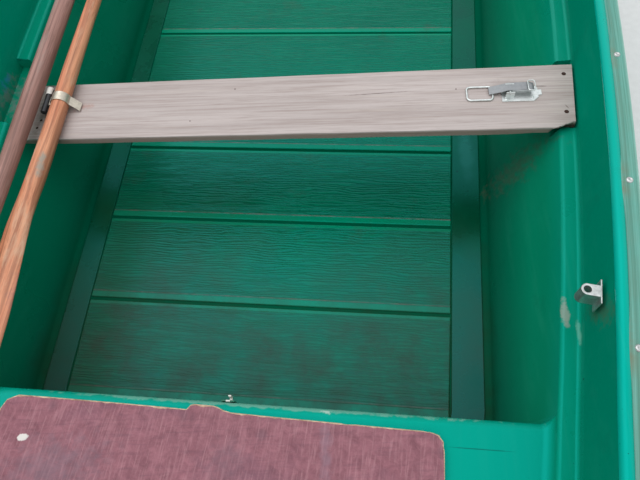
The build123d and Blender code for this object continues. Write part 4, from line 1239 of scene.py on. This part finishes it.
# Oars: where each blade ends, its slant and rise in degrees, and the inner oar's worn places
INNER_TIP = (-0.483844, -1.58, 0.3963)
OUTER_TIP = (-0.547844, -1.48, 0.4393)
INNER_SLANT = 2.5913
OUTER_SLANT = 3.5872
INNER_PITCH = 1.6175
OUTER_PITCH = 0.6351
INNER_MARKS = [
    ((-0.453, -1.235, 0.405), (0.0035, 0.300, 0.02), 2.2, (204, 188, 160), 0.85, 0.5, 0.4),
    ((-0.4935, -0.855, 0.433), (0.006, 0.035, 0.02), 2.6, (150, 146, 140), 0.8, 0.5, 0.5),
    ((-0.500, -0.700, 0.440), (0.010, 0.050, 0.02), 2.6, (190, 160, 138), 0.6, 0.8, 0.6),
    ((-0.516, -0.430, 0.458), (0.008, 0.016, 0.012), 2.6, (206, 186, 164), 0.7, 0.6, 0.5),
    ((-0.520, -1.300, 0.403), (0.030, 0.140, 0.02), 2.6, (150, 104, 104), 0.5, 0.9, 0.7),
    ((-0.480, -1.020, 0.415), (0.018, 0.080, 0.02), 2.6, (140, 96, 96), 0.45, 0.9, 0.7),
    ((-0.520, -0.725, 0.445), (0.0085, 0.050, 0.02), 4.0, (150, 144, 132), 0.85, 0.5, 0.4),
]
OAR_LONG = 2.08
OAR_SHIFT = -0.010
OAR_LIFT = 0.0015
BLADE_EDGE = 0.0058

# Oar outlines: distance from the blade's end, reach to port and to starboard, half thickness
INNER_LINE = [
    (0.000, 0.003, 0.003, 0.004), (0.006, 0.022, 0.021, 0.005), (0.030, 0.043, 0.040, 0.006),
    (0.128, 0.049, 0.044, 0.006), (0.400, 0.042, 0.029, 0.0065), (0.500, 0.043, 0.0275, 0.009),
    (0.550, 0.044, 0.024, 0.011), (0.620, 0.046, 0.0185, 0.014), (0.690, 0.0465, 0.0125, 0.0165),
    (0.720, 0.0445, 0.0105, 0.0175), (0.750, 0.041, 0.0095, 0.0185), (0.790, 0.0365, 0.0095, 0.020),
    (0.830, 0.0335, 0.0110, 0.021), (0.900, 0.0325, 0.0120, 0.0215), (1.000, 0.031, 0.0110, 0.0205),
    (1.200, 0.030, 0.0100, 0.0200), (1.350, 0.0275, 0.0095, 0.0185), (1.600, 0.022, 0.014, 0.018),
    (1.790, 0.019, 0.018, 0.0185), (1.950, 0.016, 0.016, 0.016), (2.070, 0.0155, 0.0155, 0.0155),
    (2.080, 0.012, 0.012, 0.012)]
OUTER_LINE = [
    (0.000, 0.003, 0.003, 0.004), (0.006, 0.022, 0.022, 0.005), (0.030, 0.043, 0.043, 0.006),
    (0.128, 0.0488, 0.0488, 0.006), (0.320, 0.041, 0.041, 0.006), (0.500, 0.030, 0.030, 0.0125),
    (0.640, 0.0193, 0.0193, 0.0193), (0.960, 0.023, 0.023, 0.023), (1.790, 0.023, 0.023, 0.023),
    (1.950, 0.016, 0.016, 0.016), (2.070, 0.0155, 0.0155, 0.0155), (2.080, 0.012, 0.012, 0.012)]


def line_value(line, far, column):
    """A column of an oar's outline at a distance, eased over a short stretch."""
    total = 0.0
    for step in (-0.015, -0.005, 0.005, 0.015):
        at = min(OAR_LONG, max(0.0, far + step * min(1.0, far / 0.05, (OAR_LONG - far) / 0.02)))
        for low_row, high_row in zip(line[:-1], line[1:]):
            if low_row[0] <= at <= high_row[0]:
                share = (at - low_row[0]) / (high_row[0] - low_row[0])
                total += low_row[column] + (high_row[column] - low_row[column]) * share
                break
    return total / 4


def oar_mesh(name, line, flat_until, round_from):
    """A flat blade that swells through a ridge into the round loom."""
    count, rings = 36, []
    for far in rows(0.0, OAR_LONG, [row[0] for row in line], step=0.02):
        left, right, thick = (line_value(line, far, column) for column in (1, 2, 3))
        rounded = smooth(flat_until, round_from, far)
        ring = []
        for k in range(count):
            a = 2 * math.pi * (k + 0.5) / count
            u, up = math.cos(a), math.sin(a)
            ridge = (thick - BLADE_EDGE) * math.exp(-(2 * u) ** 2) if thick > BLADE_EDGE else 0.0
            flat = (min(thick, BLADE_EDGE) + ridge) * (1 - abs(u) ** 8)
            z = rounded * thick * up + (1 - rounded) * math.copysign(flat, up)
            ring.append(Vector(((right - left) / 2 + (left + right) / 2 * u, far, z)))
        rings.append(ring)
    return shade(loft(name, rings), 50)


def oar_frame(tip, slant, pitch):
    return Matrix.Translation(tip) @ turned(slant, "Z") @ turned(pitch, "X")


# Inner oar's clamp and pin: where the tab starts, its bend in degrees, and scales of their parts
TAB_FROM = 0.0215
TAB_DROP = 26
TAB_SCALE = 0.78
TAB_AFT = 0.2
BAND_SCALE = 1.09
ARM_SCALE = 0.62
PIN_X = -0.048
PIN_OUT = 0.004
PIN_SCALE = 1.2
CAP_Y = 1.0895
CAP_LINE = [(0.0, 0.0), (0.0080, 0.0), (0.0084, 0.001), (0.0084, 0.020), (0.0068, 0.0225), (0.0, 0.023)]


def bent_clamp(here):
    """A point of the clamp, wider round the loom and with its tab bent down."""
    x, y, z = here.x * BAND_SCALE, here.y, here.z * BAND_SCALE
    if here.x > TAB_FROM:
        a, run = math.radians(TAB_DROP), (here.x - TAB_FROM) * TAB_SCALE
        y -= run * TAB_AFT
        x = TAB_FROM * BAND_SCALE + run * math.cos(a) + here.z * math.sin(a)
        z = here.z * math.cos(a) - run * math.sin(a)
    if here.x < -TAB_FROM:
        x = -TAB_FROM * BAND_SCALE + (here.x + TAB_FROM) * ARM_SCALE
    return Vector((x + OAR_SHIFT, y, z + OAR_LIFT))


def thick_pin(here):
    x = PIN_X + (here.x - PIN_X) * PIN_SCALE + OAR_SHIFT + PIN_OUT
    return Vector((x, here.y, here.z * PIN_SCALE + OAR_LIFT))


def make_oars(timber, faded, clamp_metal, rubber, cap_plastic):
    inner_place = oar_frame(INNER_TIP, INNER_SLANT, INNER_PITCH)
    outer_place = oar_frame(OUTER_TIP, OUTER_SLANT, OUTER_PITCH)
    inner = oar_mesh("oar_inner_timber", INNER_LINE, 0.62, 0.84)
    inner.data.transform(inner_place @ Matrix.Translation((0, 0, OAR_LIFT)))
    dress(inner, timber, "inner_oar", ["oar_inner"])
    outer = oar_mesh("oar_outer_timber", OUTER_LINE, 0.45, 0.66)
    outer.data.transform(outer_place @ turned(90, "Y"))
    dress(outer, faded, "outer_oar", ["oar_outer"])
    for side in ("inner", "outer"):
        for tail, width, metal, slot, changed in (
                ("_clamp", 0.0005, clamp_metal, "zinc_steel", bent_clamp),
                ("_pin", 0.001, rubber, "black_plastic", thick_pin)):
            node = "oar_" + side + tail
            piece = from_solid(node + "_piece", node, width)
            if side == "inner":
                piece.data.transform(inner_place.inverted())
                for vertex in piece.data.vertices:
                    vertex.co = changed(vertex.co)
                piece.data.transform(inner_place)
            dress(piece, metal, side + "_oar", [node])
    place_cap = Matrix.Translation((PIN_X, CAP_Y, OAR_LIFT)) @ turned(-90, "X")
    cap = lathe("oar_inner_pin_cap", CAP_LINE, 24, inner_place @ place_cap)
    dress(shade(cap, 40), cap_plastic, "inner_oar")


# Camera and light
CAMERA_AT = (0.2713, -1.4183, 1.4167)
CAMERA_PITCH = 61.22
CAMERA_HEADING = 12.5165
CAMERA_ROLL = -8.9506
FOCAL_PIXELS = 539.3
IMAGE_WIDTH = 640
LAMP_AT = (-1.2, 0.4, 5.0)
LAMP_SIZE = 4.5
LAMP_POWER = 80


def make_camera():
    data = configured(bpy.data.cameras.new("camera"), sensor_width=36, clip_start=0.05)
    data.lens = FOCAL_PIXELS / IMAGE_WIDTH * data.sensor_width
    camera = linked("camera", data)
    turn = turned(CAMERA_HEADING, "Z") @ turned(90 - CAMERA_PITCH, "X") @ turned(CAMERA_ROLL, "Z")
    camera.matrix_world = Matrix.Translation(CAMERA_AT) @ turn
    bpy.context.scene.camera = camera


def make_light():
    """A broad lamp overhead, aimed at the boat, and a pale sky that is brighter at the top."""
    data = configured(bpy.data.lights.new("overhead", "AREA"), energy=LAMP_POWER,
                      shape="RECTANGLE", size=LAMP_SIZE, size_y=LAMP_SIZE)
    lamp = linked("overhead", data)
    lamp.location = LAMP_AT
    lamp.rotation_euler = (Vector((0, 0, 0.3)) - Vector(LAMP_AT)).to_track_quat("-Z", "Y").to_euler()
    world = configured(bpy.data.worlds.new("studio"), use_nodes=True)
    bpy.context.scene.world = world
    coords = add_node(world.node_tree, "TexCoord").outputs["Generated"]
    rise = add_node(world.node_tree, "SeparateXYZ", {0: coords}).outputs[2]
    bright = {"Value": rise, "From Max": 0.85, "To Min": 0.42, "To Max": 1.3}
    sky = add_node(world.node_tree, "MapRange", bright)
    back = world.node_tree.nodes["Background"].inputs
    put((0.94, 0.97, 1.0), back["Color"])
    put(sky.outputs[0], back["Strength"])


def make_stage():
    bpy.ops.mesh.primitive_plane_add(size=60, location=(0, 0, 0))
    ground = bpy.context.object
    ground.name = "ground"
    s = Shader("pale_floor", specular=0.2)
    speck = s.noise(s.coords, 40.0, 4.0)
    s.blend(s.span(speck, 0.3, 0.7), (0.66, 0.66, 0.65), (0.71, 0.71, 0.70))
    ground.data.materials.append(s.done(0.85))


make_camera()
make_light()
make_stage()
bpy.context.scene.view_settings.view_transform = "Standard"

coats = make_gelcoats()
zinc = steel_material("zinc_steel", (206, 208, 206))
plate_steel = steel_material("plate_steel", (226, 230, 228), 0.25, 0.8)
strap_steel = steel_material("strap_steel", (150, 152, 154), 0.15, 0.85)
clamp_steel = steel_material("clamp_steel", (206, 196, 180), 0.25, 0.75)
# Painted shade: dark colour of the discs that stand for the nail holes
hole_shade_paint = plastic_material("hole_painted_shade", (50, 26, 18), 0.8)
oar_wood = wood("oar_timber", (218, 154, 118), (196, 122, 88), (96, 56, 38), -90 - INNER_SLANT, 0.5,
                (198, 162, 134), INNER_MARKS, 0.75)
oar_faded = wood("oar_timber_faded", (176, 134, 124), (142, 104, 94), (86, 62, 56), -90 - OUTER_SLANT, 0.6,
                 (150, 130, 122), flecks=0.5)
pad_wood = wood("pad_timber", (120, 98, 76), (92, 72, 54), (50, 38, 28))
black = plastic_material("black_rubber", (26, 28, 32))
white = plastic_material("white_plastic", (214, 212, 204))

make_hull(coats)
make_liner(coats)
make_floor(floor_material(), margin_material())
make_gunwale(coats, strake_material(), zinc)
make_thwart(plank_material(), hole_shade_paint)
make_board(board_material(), splinter_material())
make_latch(plate_steel, strap_steel)

# Pieces whose solid has the right shape already
PLAIN = [
    ("foredeck", coats["liner"], "liner_gelcoat", 0.004),
    ("transom_pad", pad_wood, "pad_wood", 0.003),
    ("drain_plug", black, "black_plastic", 0.0015),
    ("bow_eye", zinc, "zinc_steel", 0.001),
    ("rowlock_socket_starboard", zinc, "zinc_steel", 0.001),
    ("rowlock_socket_port", zinc, "zinc_steel", 0.001),
    ("bench_hook", hook_material(), "white_plastic", 0.0008),
]
for node, material, slot, width in PLAIN:
    stand_in(node, "_piece", width, material)
make_oars(oar_wood, oar_faded, clamp_steel, black, white)
